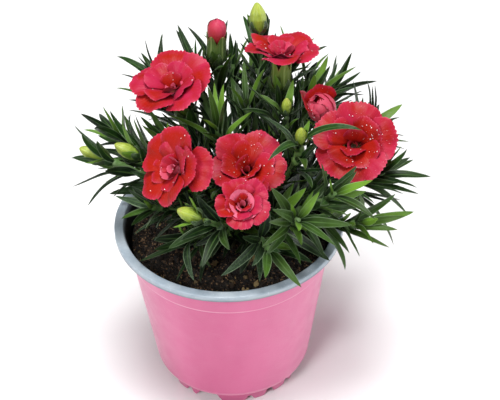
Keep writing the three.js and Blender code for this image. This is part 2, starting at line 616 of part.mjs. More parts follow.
// The petals' claws, packed into one short body that sits in the calyx.
function makeCore(stem) {
  const foot = -CALYX.cup + FIT_GAP;
  const neck = CALYX.radius - CALYX.wall - 0.7 - FIT_GAP;
  const profile = [
    [0, foot],
    [neck - 0.15, foot],
    [neck + 0.4, CALYX.tooth],
    [CORE.radius, CORE.height * 0.6],
    [0, CORE.height],
  ];
  return onThroat(stem, turned(profile, CORE.sides));
}

// A bud with its petals still rolled: an egg whose petals overlap in a spiral.
function makeRolledBud(stem) {
  const { length, radius } = RED_BUD;
  const foot = -CALYX.cup + FIT_GAP;
  const neck = CALYX.radius - CALYX.wall - 0.7 - FIT_GAP;
  const profile = [
    [0, foot],
    [neck - 0.15, foot],
    [neck + 0.2, 0.6],
    [radius * 0.94, length * 0.36],
    [radius, length * 0.62],
    [radius * 0.62, length * 0.95],
    [radius * 0.3, length * 0.8],
    [0, length * 0.8],
  ];
  const geometry = reshape(turned(profile, CORE.sides), (x, y, z) => {
    const wrapped = z > 1 ? 1 + 0.08 * ((sectorOf(x, y, CORE.sides) % 4) - 1.5) : 1;
    return new THREE.Vector3(x * wrapped, y * wrapped, z);
  });
  return onThroat(stem, geometry);
}

function makePetals(stem) {
  if (stem.head === "redBud") return makeRolledBud(stem);
  return fuse([makeCore(stem), ...layPetals(stem).map(makePetal)]);
}

// ---- room between the stems ----

// A grid of cells that remembers which stem has taken each one, with a cell to spare on all sides.
function makeRoom() {
  const cells = new Map();
  const cellOf = (p) => [p.x, p.y, p.z].map((length) => Math.floor(length / CELL) + 200);
  const keyOf = (i, j, k) => (i * 400 + j) * 400 + k;
  const around = [-1, 0, 1];
  return {
    take(points, owner) {
      for (const p of points) {
        const [i, j, k] = cellOf(p);
        for (const a of around) {
          for (const b of around) {
            for (const c of around) {
              const key = keyOf(i + a, j + b, k + c);
              if (!cells.has(key)) cells.set(key, owner);
            }
          }
        }
      }
    },
    isFree(points, mayTouch = () => false) {
      return points.every((p) => {
        const owner = cells.get(keyOf(...cellOf(p)));
        return owner === undefined || mayTouch(owner);
      });
    },
  };
}

// Points over a surface that is given as a function of two shares, one in 0..1 and one in -1..1.
function samples(surface, stepsLong, stepsAcross, from = 0) {
  const points = [];
  for (let i = 0; i <= stepsLong; i++) {
    const share = from + ((1 - from) * i) / stepsLong;
    for (let j = 0; j <= stepsAcross; j++) points.push(surface(share, (2 * j) / stepsAcross - 1));
  }
  return points;
}

// Points round a tube of the given radius that runs from one end of a curve to the other.
const tubeSamples = (pointAt, radius) =>
  samples((share, v) => {
    const angle = v * Math.PI;
    const offset = new THREE.Vector3(Math.cos(angle), Math.sin(angle), 0);
    return pointAt(share).addScaledVector(offset, radius);
  }, 100, 6);

// A point on the head's axis, at a share of the way between two heights over the throat.
const onAxis = (stem, low, high) => (share) =>
  stem.throat.clone().addScaledVector(stem.axis, low + (high - low) * share);

// How far a head reaches below and above the throat.
function headSpan(stem) {
  if (stem.head === "leafyTip") return [0, 0];
  if (stem.head === "greenBud") return [0, GREEN_BUD.length * stem.size];
  return [-CALYX.length, stem.head === "redBud" ? RED_BUD.length : 2];
}

function takeRoomForWood(room, stem) {
  room.take(tubeSamples((share) => pointOnStem(stem, share), 1), stem.index);
  const [low, high] = headSpan(stem);
  if (high > low) room.take(tubeSamples(onAxis(stem, low, high), CALYX.radius), stem.index);
}

// The petals take their own room, and the open air in front of them.
function takeRoomForPetals(room, stem) {
  for (const petal of layPetals(stem)) {
    const surface = (u, v) => petalPoint(petal, u, v);
    room.take(samples(surface, 20, 20, 0.1), stem.index);
  }
  if (stem.head !== "bloom") return;
  for (const radius of [2, 6, 10]) {
    room.take(tubeSamples(onAxis(stem, 10, 24), radius), stem.index);
  }
}

// Whether points clear the soil, the rim and the ground beside the pot.
function clearsPot(points) {
  return points.every((p) => {
    const spread = Math.hypot(p.x, p.y);
    if (spread < RIM_RADIUS - LIP_WIDTH - 4) return p.z > SOIL_TOP + 2.4;
    if (spread < RIM_RADIUS + 1.6) return p.z > POT_HEIGHT + 1.4;
    return p.z > POT_HEIGHT * 0.6;
  });
}

// Lays the placed leaves and then the rest, pair by pair from the tips down. Of the rest, a leaf that
// has no room is tried with other turns, bends and lengths, and is left out when none of them fits.
function layLeaves(stems) {
  const [greens, reds] = [makeRoom(), makeRoom()];
  for (const stem of stems) takeRoomForWood(greens, stem);
  for (const stem of stems) takeRoomForPetals(reds, stem);
  const leaves = stems.map(() => []);

  function lay(stem, leaf, owner) {
    const whole = samples((s, v) => leafPoint(leaf, s, v), 28, 6);
    const blade = whole.slice(7 * 3); // the fourth row of points on, clear of the stem
    const tip = whole.slice(7 * 8);
    const hasRoom =
      clearsPot(blade) &&
      reds.isFree(whole) &&
      greens.isFree(blade, (other) => Math.floor(other) === stem.index) &&
      greens.isFree(tip, (other) => other === stem.index || other === owner);
    if (!hasRoom) return false;
    greens.take(whole, owner);
    leaves[stem.index].push(leaf);
    return true;
  }

  PLACED_LEAVES.forEach((placed) => {
    const stem = stems[placed.stem - 1];
    lay(stem, aimLeaf(stem, placed), stem.index + 0.5);
  });
  for (let pair = 0; pair < MOST_PAIRS; pair++) {
    for (const stem of stems) {
      for (let side = 0; side < 2 && pair < stem.pairs; side++) {
        LEAF_TRIES.some((attempt) =>
          lay(stem, layLeaf(stem, pair, side, attempt), stem.index + (pair + 1) / 100),
        );
      }
    }
  }
  return leaves;
}

// ---- the whole plant ----

function meshOf(name, solid, style) {
  const mesh = new THREE.Mesh(geometryOf(solid), new THREE.MeshStandardMaterial(style));
  mesh.name = name;
  return mesh;
}

function makePlant() {
  const group = new THREE.Group();
  const stems = STEMS.map(layStem);
  const leaves = layLeaves(stems);
  group.add(meshOf("pot", makePot(), STYLES.pot));
  group.add(meshOf("soil", makeSoil(stems), STYLES.soil));
  for (const stem of stems) {
    const green = [makeStem(stem), ...leaves[stem.index].map(makeLeaf)];
    if (stem.head === "greenBud") green.push(makeGreenBud(stem));
    else if (stem.head !== "leafyTip") green.push(makeCalyx(stem));
    const number = String(stem.index + 1).padStart(2, "0");
    group.add(meshOf(`${STEM_NAMES[stem.head]}_${number}`, fuse(green), STYLES.foliage));
    if (stem.head in PETAL_NAMES) {
      group.add(meshOf(`${PETAL_NAMES[stem.head]}_${number}`, makePetals(stem), STYLES.petals));
    }
  }
  return group;
}

export default makePlant();
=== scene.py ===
import math

import bmesh
import bpy
import numpy as np
from mathutils import Matrix, Vector


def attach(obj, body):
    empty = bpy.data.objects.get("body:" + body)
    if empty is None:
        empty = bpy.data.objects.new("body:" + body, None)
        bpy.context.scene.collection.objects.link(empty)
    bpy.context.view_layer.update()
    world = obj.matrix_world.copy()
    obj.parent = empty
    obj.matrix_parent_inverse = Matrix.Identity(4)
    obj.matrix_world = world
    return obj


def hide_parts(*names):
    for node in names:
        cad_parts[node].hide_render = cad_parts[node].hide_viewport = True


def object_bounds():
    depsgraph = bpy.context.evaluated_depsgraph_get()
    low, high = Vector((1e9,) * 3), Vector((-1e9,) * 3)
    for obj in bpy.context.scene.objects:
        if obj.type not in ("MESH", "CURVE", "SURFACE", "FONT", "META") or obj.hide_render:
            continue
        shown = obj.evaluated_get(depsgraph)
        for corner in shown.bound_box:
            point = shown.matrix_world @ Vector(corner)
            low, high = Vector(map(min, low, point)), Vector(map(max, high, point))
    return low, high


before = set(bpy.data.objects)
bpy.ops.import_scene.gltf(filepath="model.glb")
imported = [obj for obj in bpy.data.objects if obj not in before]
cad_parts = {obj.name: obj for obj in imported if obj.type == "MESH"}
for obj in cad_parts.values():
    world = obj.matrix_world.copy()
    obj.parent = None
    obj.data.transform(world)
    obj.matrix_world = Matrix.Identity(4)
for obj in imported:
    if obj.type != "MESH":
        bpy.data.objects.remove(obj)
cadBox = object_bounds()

# A red double dianthus in its pot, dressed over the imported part. Lengths are in millimetres and
# angles in degrees until a mesh is made, with the origin under the middle of the pot.

scene = bpy.context.scene
up = np.array([0.0, 0.0, 1.0])


# small sums that everything uses

def draws(seed, count):
    # each next state is state * 1664525 + 1013904223, kept to 32 bits, and gives a number in 0..1
    state = (seed + 1) * 2654435761 % 2**32
    made = []
    for _ in range(count):
        state = (state * 1664525 + 1013904223) % 2**32
        made.append(state / 2**32)
    return made


def smooth(x):
    return x * x * (3 - 2 * x)


def turnsOf(count):
    # the angles of count points that stand evenly round a circle
    return np.arange(count) * 2 * np.pi / count


def unit(v):
    return v / np.linalg.norm(v, axis=-1, keepdims=True)


def framesAlong(directions, turn=0.0):
    # three directions at right angles: along the given one, side turned about it, front = along x side
    along = unit(np.asarray(directions, float))
    side = unit(np.cross(np.array([0.0, 1.0, 0.0]), along))
    angle = np.radians(turn)
    side = side * np.cos(angle) + np.cross(along, side) * np.sin(angle)
    return side, np.cross(along, side), along


def inFrame(axes, origin, x, y, z):
    side, front, along = axes
    return origin + side * x[..., None] + front * y[..., None] + along * z[..., None]


def bezier(ends, t):
    # (1-t)^3 a + 3 (1-t)^2 t b + 3 (1-t) t^2 c + t^3 d
    t = np.asarray(t, float)[..., None]
    a, b, c, d = ends
    return (1 - t) ** 3 * a + 3 * (1 - t) ** 2 * t * b + 3 * (1 - t) * t**2 * c + t**3 * d


def tangentOf(ends, t, step=0.0001):
    return unit(bezier(ends, np.minimum(1, t + step)) - bezier(ends, np.maximum(0, t - step)))


def patches(x, y, scale, seed):
    # smoothly blended random heights of a square lattice whose cells are scale wide, in -1..1
    lattice = np.random.default_rng(seed).random((64, 64)) * 2 - 1
    px, py = np.asarray(x) / scale, np.asarray(y) / scale
    ix, iy = np.floor(px).astype(int), np.floor(py).astype(int)
    fx, fy = smooth(px - ix), smooth(py - iy)
    low = lattice[ix % 64, iy % 64] * (1 - fx) + lattice[(ix + 1) % 64, iy % 64] * fx
    high = lattice[ix % 64, (iy + 1) % 64] * (1 - fx) + lattice[(ix + 1) % 64, (iy + 1) % 64] * fx
    return low * (1 - fy) + high * fy


# meshes from grids of points

def newBag():
    return {"points": [], "faces": [], "uv": [], "tone": [], "youth": [], "count": 0}


def addRings(bag, points, along, across, tone=0.5, youth=0.5):
    # points is (..., rows, columns, 3): rings of columns that close on themselves, joined row by row;
    # tone and youth are one number, one for each copy, or a grid of rows and columns
    rows, columns = points.shape[-3:-1]
    copies = points.reshape(-1, rows, columns, 3)
    n = len(copies)
    r, c = np.meshgrid(np.arange(rows - 1), np.arange(columns), indexing="ij")
    a, b = r * columns + c, r * columns + (c + 1) % columns
    quads = np.stack([a, b, b + columns, a + columns], -1).reshape(-1, 4)
    starts = bag["count"] + np.arange(n) * rows * columns
    bag["points"].append(copies.reshape(-1, 3))
    bag["faces"].append((quads[None] + starts[:, None, None]).reshape(-1, 4))
    pair = np.stack(np.broadcast_arrays(along, across), -1)
    bag["uv"].append(np.broadcast_to(pair, (n, rows, columns, 2)).reshape(-1, 2))
    for key, value in (("tone", tone), ("youth", youth)):
        value = np.asarray(value, float)
        value = value if value.ndim == 2 else value.reshape(-1, 1, 1)
        bag[key].append(np.broadcast_to(value, (n, rows, columns)).reshape(-1))
    bag["count"] += n * rows * columns


def evenly(rows, columns):
    # shares from 0 to 1 down the rows and across the columns
    return np.linspace(0, 1, rows)[:, None], np.linspace(0, 1, columns)[None, :]


def joined(face, back):
    # two faces as one ring: across the first, then back over the second without its two margins
    return np.concatenate([face, back[:, -2:0:-1]], 1)


def smallBall(columns, rows=6):
    # sin(lat) cos(lon), sin(lat) sin(lon), cos(lat), from the bottom up
    lat, lon = np.linspace(0, np.pi, rows)[:, None], turnsOf(columns)
    return np.stack([np.sin(lat) * np.cos(lon), np.sin(lat) * np.sin(lon), np.cos(lat) + 0 * lon], -1)[::-1]


def meshOf(name, bag):
    mesh = bpy.data.meshes.new(name)
    mesh.from_pydata(np.concatenate(bag["points"]) * 0.001, [], np.concatenate(bag["faces"]))
    return mesh


def weld(mesh):
    # merges the points of each seam and pole
    shell = bmesh.new()
    shell.from_mesh(mesh)
    bmesh.ops.remove_doubles(shell, verts=shell.verts, dist=2e-6)
    bmesh.ops.dissolve_degenerate(shell, edges=shell.edges, dist=1e-7)
    shell.to_mesh(mesh)
    shell.free()


def linked(name, data):
    made = bpy.data.objects.new(name, data)
    scene.collection.objects.link(made)
    return made


def finishPiece(name, bag, material, nodeName, crease):
    mesh = meshOf(name, bag)
    for key in ("tone", "youth"):
        layer = mesh.attributes.new(key, "FLOAT", "POINT")
        layer.data.foreach_set("value", np.concatenate(bag[key]).astype(np.float32))
    corners = np.zeros(len(mesh.loops), np.int32)
    mesh.loops.foreach_get("vertex_index", corners)
    flat = mesh.uv_layers.new(name="surface")
    flat.data.foreach_set("uv", np.concatenate(bag["uv"])[corners].astype(np.float32).ravel())
    weld(mesh)
    mesh.polygons.foreach_set("use_smooth", np.ones(len(mesh.polygons), bool))
    mesh.set_sharp_from_angle(angle=math.radians(crease))
    mesh.materials.append(material)
    piece = linked(name, mesh)
    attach(piece, "root")
    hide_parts(nodeName)
    return piece


# the pot's and the soil's sizes

pot = {
    "rimRadius": 60.0, "height": 98.0, "lipDrop": 3.3, "lipWidth": 4.85, "wall": 1.0, "skin": 0.45,
    "topRadius": 55.4, "footRadius": 42.2, "footHeight": 11.0, "stepBelow": 18.0, "stepInset": 0.7,
    "ringOuter": 37.4, "ringInner": 34.4, "ringHeight": 6.0, "notch": 5.2, "centreFoot": 11.0,
    "drains": 5, "drainRadius": 3.2, "drainRing": 23.0, "columns": 600, "crease": 35,
    # the foot ring goes round in sectors, and the pattern has a 1 where it has a gap; a small bite has
    # the sector of its middle, its half width in sectors and its depth as a share of a gap's
    "sectors": 40, "pattern": [0, 0, 0, 0, 0, 0, 0, 1, 1, 0],
    "bites": [(1.4, 0.32, 0.55), (3.4, 0.42, 0.85), (5.5, 0.3, 0.6)],
}
soilTop = pot["height"] - 10.0

# Each stem's head, the place of its throat or tip over the rim, the way the tip points, its leaf
# pairs, the turn of the top pair, a bloom's diameter or a green bud's size, and the spin of the petals.
stemRows = [
    ("bloom", (-24.5, 22, 65), (-0.25, -0.2, 0.95), 4, 20, 41, 10),
    ("bloom", (29.5, 30, 75), (0.05, 0.17, 0.97), 4, 70, 39, 50),
    ("bloom", (64.5, -4, 48), (-0.1, -0.65, 0.75), 4, 14, 44, 0),
    ("bloom", (-21, -26, 54), (-0.75, -0.4, 0.6), 4, 40, 38, 30),
    ("bloom", (10, -12, 39), (0.05, -0.42, 0.9), 3, 0, 39, 54),
    ("bloom", (7, -41, 41), (0.03, -0.5, 0.85), 4, 80, 28, 44),
    ("openingBud", (51, 16, 51), (-0.2, -0.2, 1), 4, 19, 18, 0),
    ("redBud", (-3, 45, 82), (0.05, 0.1, 1), 5, 50, 0, 0),
    ("greenBud", (19, 51, 81), (-0.05, 0.15, 1), 6, 0, 1.2, 0),
    ("greenBud", (-44, 0, 43), (-0.8, 0, 0.6), 4, 60, 1, 0),
    ("greenBud", (-60, -7, 48), (-0.85, 0, 0.5), 4, 20, 1, 0),
    ("greenBud", (-13, -47, 40), (-0.75, -0.2, 0.6), 4, 45, 1, 0),
    ("greenBud", (31, 11, 59), (0, -0.1, 1), 4, 30, 0.7, 0),
    ("greenBud", (37, -10, 56), (0, -0.25, 0.95), 5, 0, 0.8, 0),
    ("leafyTip", (45, 32, 54), (0.2, 0.1, 0.95), 5, 75, 0, 0),
    ("leafyTip", (52, -38, 46), (0.35, -0.45, 0.8), 5, 25, 0, 0),
    ("leafyTip", (34, -45, 36), (0.2, -0.6, 0.75), 5, 65, 0, 0),
    ("leafyTip", (-39, -26, 32), (-0.6, -0.5, 0.6), 4, 30, 0, 0),
    ("leafyTip", (79, -10, 36), (0.8, -0.1, 0.5), 4, 4, 0, 0),
    ("leafyTip", (76, 20, 43), (0.6, 0.05, 0.7), 5, 40, 0, 0),
    ("leafyTip", (-35, 40, 66), (-0.4, 0.3, 0.85), 5, 14, 0, 0),
    ("leafyTip", (-4, 5, 56), (-0.1, -0.1, 1), 5, 60, 0, 0),
    ("leafyTip", (19, -50, 22), (0.1, -0.9, 0.5), 5, 85, 0, 0),
    ("leafyTip", (-56, 28, 36), (-0.7, 0.3, 0.6), 4, 5, 0, 0),
    ("greenBud", (-24, 66, 42), (-0.3, 0.7, 0.6), 5, 35, 1, 0),
    ("leafyTip", (16, 76, 38), (0.1, 0.8, 0.55), 4, 62, 0, 0),
    ("leafyTip", (58, 60, 38), (0.6, 0.6, 0.5), 4, 80, 0, 0),
    ("leafyTip", (-22, -29, 12), (-0.45, -0.6, 0.6), 3, 20, 0, 0),
    ("leafyTip", (26, -27, 26), (0.3, -0.5, 0.8), 4, 50, 0, 0),
    ("leafyTip", (49, -10, 30), (0.5, -0.3, 0.8), 4, 15, 0, 0),
    ("leafyTip", (-26, 6, 40), (-0.3, -0.2, 0.9), 4, 70, 0, 0),
    ("leafyTip", (11, 22, 58), (0, 0.1, 1), 4, 25, 0, 0),
    ("leafyTip", (-14, 40, 70), (-0.15, 0.15, 1), 5, 45, 0, 0),
    ("leafyTip", (35, 50, 66), (0.25, 0.25, 0.9), 5, 15, 0, 0),
    ("leafyTip", (67, -36, 25), (0.75, -0.35, 0.45), 3, 30, 0, 0),
    ("leafyTip", (5, 60, 57), (0, 0.3, 1), 4, 10, 0, 0),
    ("leafyTip", (25, 64, 52), (0.05, 0.35, 1), 4, 55, 0, 0),
    ("leafyTip", (45, 56, 52), (0.2, 0.3, 1), 4, 30, 0, 0),
]
stemNames = {
    "bloom": "bloom_stem", "openingBud": "opening_bud_stem", "redBud": "red_bud_stem",
    "greenBud": "green_bud_stem", "leafyTip": "leafy_stem",
}
petalNames = {"bloom": "bloom_petals", "openingBud": "opening_bud_petals", "redBud": "red_bud_petals"}
stemSizes = {
    "crown": (7.0, 3.0), "crownShare": 0.25, "radius": 1.3, "tipRadius": 1.05, "spans": 4, "rootDepth": 8.0,
    "rows": 46, "columns": 9, "sheathEase": 0.04,
    "sheaths": {14: (0.72, 0.96, 0.9)},  # a thick young internode: from and to on the stem, extra radius
}
calyxSizes = {
    "length": 15.0, "radius": 5.1, "wall": 0.5, "cup": 4.0, "tooth": 2.6,
    "heights": [-16, -15, -13.5, -11.5, -8.25, -4, 0, 5],
    "radii": [1.25, 1.7, 3.15, 4.6, 5.2, 5.1, 4.9, 5.6],
}
greenBudSizes = {"length": 15.0, "radius": 3.7}
redBudSizes = {"length": 12.5, "radius": 5.1}
coreHeight = 7.0
perStem = 100  # whatever takes up room is known by its stem's index times this, plus a leaf's own number
seeds = {
    "petals": 9000, "placedLeaves": 60000, "moreLeaves": 120000, "filledLeaves": 180000, "leafWave": 40000,
    "leafYouth": 70001, "leafToneAndShade": 90001, "petalEdge": 5000, "petalTone": 123, "bracts": 300,
    "closedBud": 7100, "hearts": 7300, "beads": 400,
}


def layStem(index, row):
    # straight up from the soil, then a cubic curve that arrives along the tip's own axis
    head, at, lean, pairs, turn, diameter, spin = row
    axis = unit(np.array(lean, float))
    throat = np.array([at[0], at[1], pot["height"] + at[2]], float)
    tip = throat - axis * (calyxSizes["length"] if head in petalNames else 0.0)
    crown, share = stemSizes["crown"], stemSizes["crownShare"]
    root = np.array([crown[0] + (tip[0] - crown[0]) * share, crown[1] + (tip[1] - crown[1]) * share, soilTop])
    span = np.linalg.norm(tip - root)
    ends = (root, root + up * span * 0.3, tip - axis * span * 0.35, tip)
    return {
        "index": index, "number": index + 1, "head": head, "axis": axis, "throat": throat, "root": root,
        "ends": ends, "pairs": pairs, "turn": turn, "diameter": diameter, "spin": spin, "leaves": [],
        "node": f"{stemNames[head]}_{index + 1:02d}",
    }


stems = [layStem(i, row) for i, row in enumerate(stemRows)]

# leaves

leafSizes = {
    "length": 34.0, "width": 6.4, "keel": 0.62, "fold": 0.3, "rootWidth": 0.3, "rootOffset": 0.6, "rows": 13,
}
# the turns and bends, and the lengths, that a leaf is tried with until one has room
leafTries = [
    (0, 0, 1), (16, 0, 1), (-16, -14, 1), (30, 10, 1), (-30, -22, 0.9), (0, 26, 0.9),
    (44, 0, 0.9), (-44, -30, 0.8), (12, 34, 0.8), (-12, -36, 0.8), (56, 16, 0.7), (-56, -14, 0.7),
]


def layLeaf(stem, pair, side, attempt, seed, depth, young):
    # the midrib is an arc that leaves the stem at one angle and ends at another, and the blade rolls
    d = draws(seed, 7)
    place = 0.96 - 0.7 * depth**1.15 + (d[0] - 0.5) * 0.02
    length = leafSizes["length"] * (0.84 + 0.32 * d[1]) * (0.5 + 0.5 * young) * attempt[2]
    width = leafSizes["width"] * (0.85 + 0.3 * d[2]) * (0.7 + 0.3 * young)
    turn = stem["turn"] + 90 * pair + 180 * side + (d[3] - 0.5) * 24 + attempt[0]
    start = (14 + 20 * young) * (0.8 + 0.4 * d[4])
    droop = 42 * depth * stem["axis"][2] ** 2
    end = 54 + droop + 44 * (d[5] - 0.5) - 30 * (1 - young) + attempt[1]
    return {
        "root": pointOnStem(stem, place), "axes": framesAlong(tangentOf(stem["ends"], place), turn),
        "place": place, "length": length, "width": width, "start": math.radians(start),
        "end": math.radians(max(start + 12, end)), "roll": math.radians((d[6] - 0.5) * 50),
        "depth": depth, "young": young, "seed": seed,
    }


def pointOnStem(stem, share):
    # straight spans between points of the stem's curve, as its solid has
    share = np.asarray(share, float)
    spans = stemSizes["spans"]
    span = np.minimum(spans - 1, np.floor(share * spans))
    low, high = bezier(stem["ends"], span / spans), bezier(stem["ends"], (span + 1) / spans)
    return low + (high - low) * (share * spans - span)[..., None]


# leaves whose tips stand out: the stem's number, the share of it that the leaf grows at, the tip in plan
# and over the rim, the angle that it leaves the stem at, and its width
placedLeaves = [
    (11, 0.95, (-70, -16, 72), 12, 5), (11, 0.88, (-78, -14, 55), 10, 5.4),
    (24, 0.9, (-66, 6, 58), 30, 5.4), (24, 0.7, (-59, 22, 57), 14, 5.2), (10, 0.8, (-49, 10, 62), 12, 5),
    (21, 0.8, (-53, 36, 70), 12, 6), (21, 0.7, (-49, 20, 65), 30, 5.4), (21, 0.75, (-44, 46, 74), 6, 5),
    (21, 0.9, (-31, 54, 81), 12, 5), (33, 0.9, (-24, 60, 80), 14, 5), (8, 0.9, (-18, 60, 82), 12, 5),
    (8, 0.88, (3, 62, 84), 10, 5), (9, 0.8, (25, 62, 84), 8, 5), (20, 0.8, (68, 46, 54), 36, 6),
    (20, 0.9, (77, 25, 66), 8, 5), (35, 0.9, (87, -38, 30), 8, 5), (35, 0.8, (83, -42, 25), 12, 5.4),
    (35, 0.7, (79, -46, 17), 16, 5.4),
    (27, 0.9, (82, 56, 46), 20, 6), (20, 0.8, (92, 10, 35), 22, 6), (19, 0.8, (94, 4, 34), 14, 5.6),
    (19, 0.9, (103, -10, 32), 14, 6), (19, 0.75, (97, -14, 24), 14, 5.6), (19, 0.6, (87, -22, 27), 12, 6),
    (19, 0.8, (92, -14, 10), 36, 5.6), (19, 0.7, (83, -30, 4), 36, 5.6), (16, 0.6, (59, -46, 14), 30, 6),
    (18, 0.7, (-35, -44, 33), 16, 6), (18, 0.5, (-37, -40, 21), 16, 6),
    (28, 0.7, (-38, -36, 12), 8, 5.4), (12, 0.8, (-30, -46, 21), 44, 6), (28, 0.9, (-18, -52, 5), 24, 5.4),
    (23, 0.6, (-5, -56, 11), 28, 5.6), (12, 0.6, (-9, -54, 21), 24, 4.6), (23, 0.7, (10, -62, 22), 10, 6),
    (23, 0.4, (14, -56, 6), 14, 5.4), (17, 0.7, (17, -62, 29), 26, 6), (17, 0.55, (34, -60, 20), 22, 5.4),
    (16, 0.6, (45, -44, 45), 8, 5.6), (30, 0.9, (72, -34, 35), 14, 6), (16, 0.8, (63, -28, 55), 14, 6),
    (17, 0.7, (50, -46, 39), 10, 6), (14, 0.92, (20, -31, 62), 8, 5.2), (14, 0.96, (66, -21, 71), 6, 5.6),
    (14, 0.7, (41, -36, 48), 34, 6.4),
]
# leaves beyond those of the solids, where the plant is dense: the same values but the width
fillLeaves = [
    (31, 0.92, (-39, 18, 61), 28), (31, 0.92, (-42, 6, 59), 16), (8, 0.65, (-7, 30, 68), 28),
    (36, 0.5, (2, 54, 46), 6), (36, 0.8, (7, 66, 69), 6), (33, 0.8, (-14, 48, 82), 16),
    (27, 0.8, (61, 66, 52), 28), (27, 0.8, (67, 72, 28), 28), (27, 0.92, (81, 66, 39), 28),
    (15, 0.65, (41, 42, 55), 16), (38, 0.65, (40, 60, 52), 16), (2, 0.92, (45, 30, 78), 28),
    (19, 0.92, (93, -30, 41), 28), (19, 0.8, (85, -24, 40), 28), (37, 0.8, (34, 72, 66), 16),
    (21, 0.92, (-31, 60, 78), 28), (33, 0.92, (-23, 54, 87), 16), (27, 0.8, (69, 66, 42), 6),
    (11, 0.92, (-75, 0, 65), 16), (10, 0.8, (-49, 6, 60), 16),
    (22, 0.92, (-8, 5, 82), 8), (22, 0.92, (1, -2, 79), 24), (22, 0.65, (1, 12, 62), 24),
    (33, 0.5, (-13, 26, 57), 24), (31, 0.92, (-43, 12, 60), 24), (31, 0.92, (-39, -2, 60), 8),
    (31, 0.8, (-37, 12, 55), 8), (37, 0.65, (42, 61, 46), 24), (2, 0.8, (40, 26, 70), 24),
    (13, 0.65, (35, 19, 62), 8), (14, 0.65, (43, -16, 59), 8), (15, 0.92, (54, 26, 77), 24),
    (15, 0.8, (64, 26, 57), 24), (27, 0.8, (69, 68, 40), 8), (36, 0.8, (8, 75, 61), 24),
    (20, 0.92, (75, 19, 69), 24), (19, 0.8, (88, -23, 32), 24), (19, 0.5, (70, -16, 21), 24),
    (21, 0.5, (-33, 26, 52), 24), (38, 0.65, (52, 54, 49), 8), (37, 0.92, (28, 61, 75), 24),
    (37, 0.92, (35, 68, 71), 8), (21, 0.92, (-40, 47, 83), 8),
    (24, 0.65, (-47, 40, 41), 24), (27, 0.92, (62, 82, 46), 24), (20, 0.92, (73, 26, 68), 24),
    (19, 0.5, (71, -16, 11), 24), (19, 0.65, (83, -16, 21), 24), (8, 0.5, (2, 40, 55), 8),
    (27, 0.8, (75, 61, 36), 24), (27, 0.92, (75, 75, 39), 24), (14, 0.65, (49, -2, 54), 24),
    (19, 0.92, (89, -16, 55), 8), (36, 0.8, (4, 68, 72), 8), (1, 0.92, (-40, 12, 65), 24),
]


def aimLeaf(stem, place, tip, start, width, seed, young=1.0):
    # an arc in the plane of the stem and the tip, whose chord's angle is the mean of both end angles
    root = pointOnStem(stem, place)
    along = tangentOf(stem["ends"], place)
    chord = np.array([tip[0], tip[1], pot["height"] + tip[2]], float) - root
    side = unit(chord - along * (chord @ along))
    chord = chord - side * leafSizes["rootOffset"]
    middle = math.atan2(chord @ side, chord @ along)
    half = max(math.radians(6), middle - math.radians(start))
    return {
        "root": root, "axes": (side, np.cross(along, side), along), "place": place, "width": width,
        "length": float(np.linalg.norm(chord)) * half / math.sin(half), "start": middle - half,
        "end": middle + half, "roll": 0.0, "depth": 0.4, "young": young, "seed": seed,
    }


def leafOutline(s):
    # half width as a share of the widest: a quick rise from the root, then a long taper to the tip
    rise = leafSizes["rootWidth"] + (1 - leafSizes["rootWidth"]) * smooth(np.minimum(1, s / 0.42))
    return rise * np.maximum(0, 1 - s**2.6) ** 0.8


def leafSurface(leaf, s, v, rise=0.0, groove=0.0):
    # at share s of the arc and v of the half width, folded up towards both edges, rolled by s
    side, front, along = leaf["axes"]
    bend = leaf["end"] - leaf["start"]
    radius = leaf["length"] / bend
    angle = (leaf["start"] + bend * s)[..., None]
    normal = along * np.sin(angle) - side * np.cos(angle)
    half = leaf["width"] / 2 * leafOutline(s)
    lift = leafSizes["fold"] * half * (np.sqrt(v * v + groove) - math.sqrt(groove)) + rise
    across = half * v * np.cos(leaf["roll"] * s) - lift * np.sin(leaf["roll"] * s)
    over = half * v * np.sin(leaf["roll"] * s) + lift * np.cos(leaf["roll"] * s)
    out = leafSizes["rootOffset"] + radius * (math.cos(leaf["start"]) - np.cos(angle))
    rising = radius * (np.sin(angle) - math.sin(leaf["start"]))
    return leaf["root"] + along * rising + side * out + front * across[..., None] + normal * over[..., None]


def petalWhorls(head):
    # from the outside in: count, root, reach, half angle of the fan, lift, fall, ruffle, cup
    if head == "bloom":
        return [(5, 2.3, 1, 37, 38, 98, 0.9, 0.04), (4, 1.8, 0.74, 37, 28, 78, 0.8, 0.06),
                (2, 1.2, 0.5, 40, 10, 46, 0.5, 0.1)]
    return [(4, 2.4, 1, 38, 34, 14, 0.3, 0.5), (2, 1.2, 0.86, 34, 14, 2, 0.3, 0.5)]


def layPetal(stem, ring, place, seed):
    count, root, reach, spread, lift, fall, ruffle, cup = petalWhorls(stem["head"])[ring]
    outer = petalWhorls(stem["head"])[0]
    d = draws(seed, 8)
    bend = math.radians(outer[5] - outer[4])
    reachOfArc = (math.cos(math.radians(outer[4])) - math.cos(math.radians(outer[5]))) / bend
    longest = (stem["diameter"] / 2 - outer[1]) / reachOfArc
    turn = stem["spin"] + ring * 36 + 360 / count * place + (d[1] - 0.5) * 4
    return {
        "origin": stem["throat"] + stem["axis"] * coreHeight * 0.45, "root": root,
        "axes": framesAlong(stem["axis"], turn), "length": longest * reach * (0.93 + 0.14 * d[2]),
        "spread": math.radians(spread) * (0.94 + 0.12 * d[3]), "lift": math.radians(lift),
        "fall": math.radians(fall + (d[0] - 0.5) * 12), "ruffle": ruffle * (0.6 + 0.8 * d[4]),
        "waves": 4.4 + 2.4 * d[5], "phase": d[6] * 2 * math.pi, "cup": cup,
        "lean": 0.15 + (d[7] - 0.5) * 0.05, "seed": seed, "owner": stem["number"],
    }


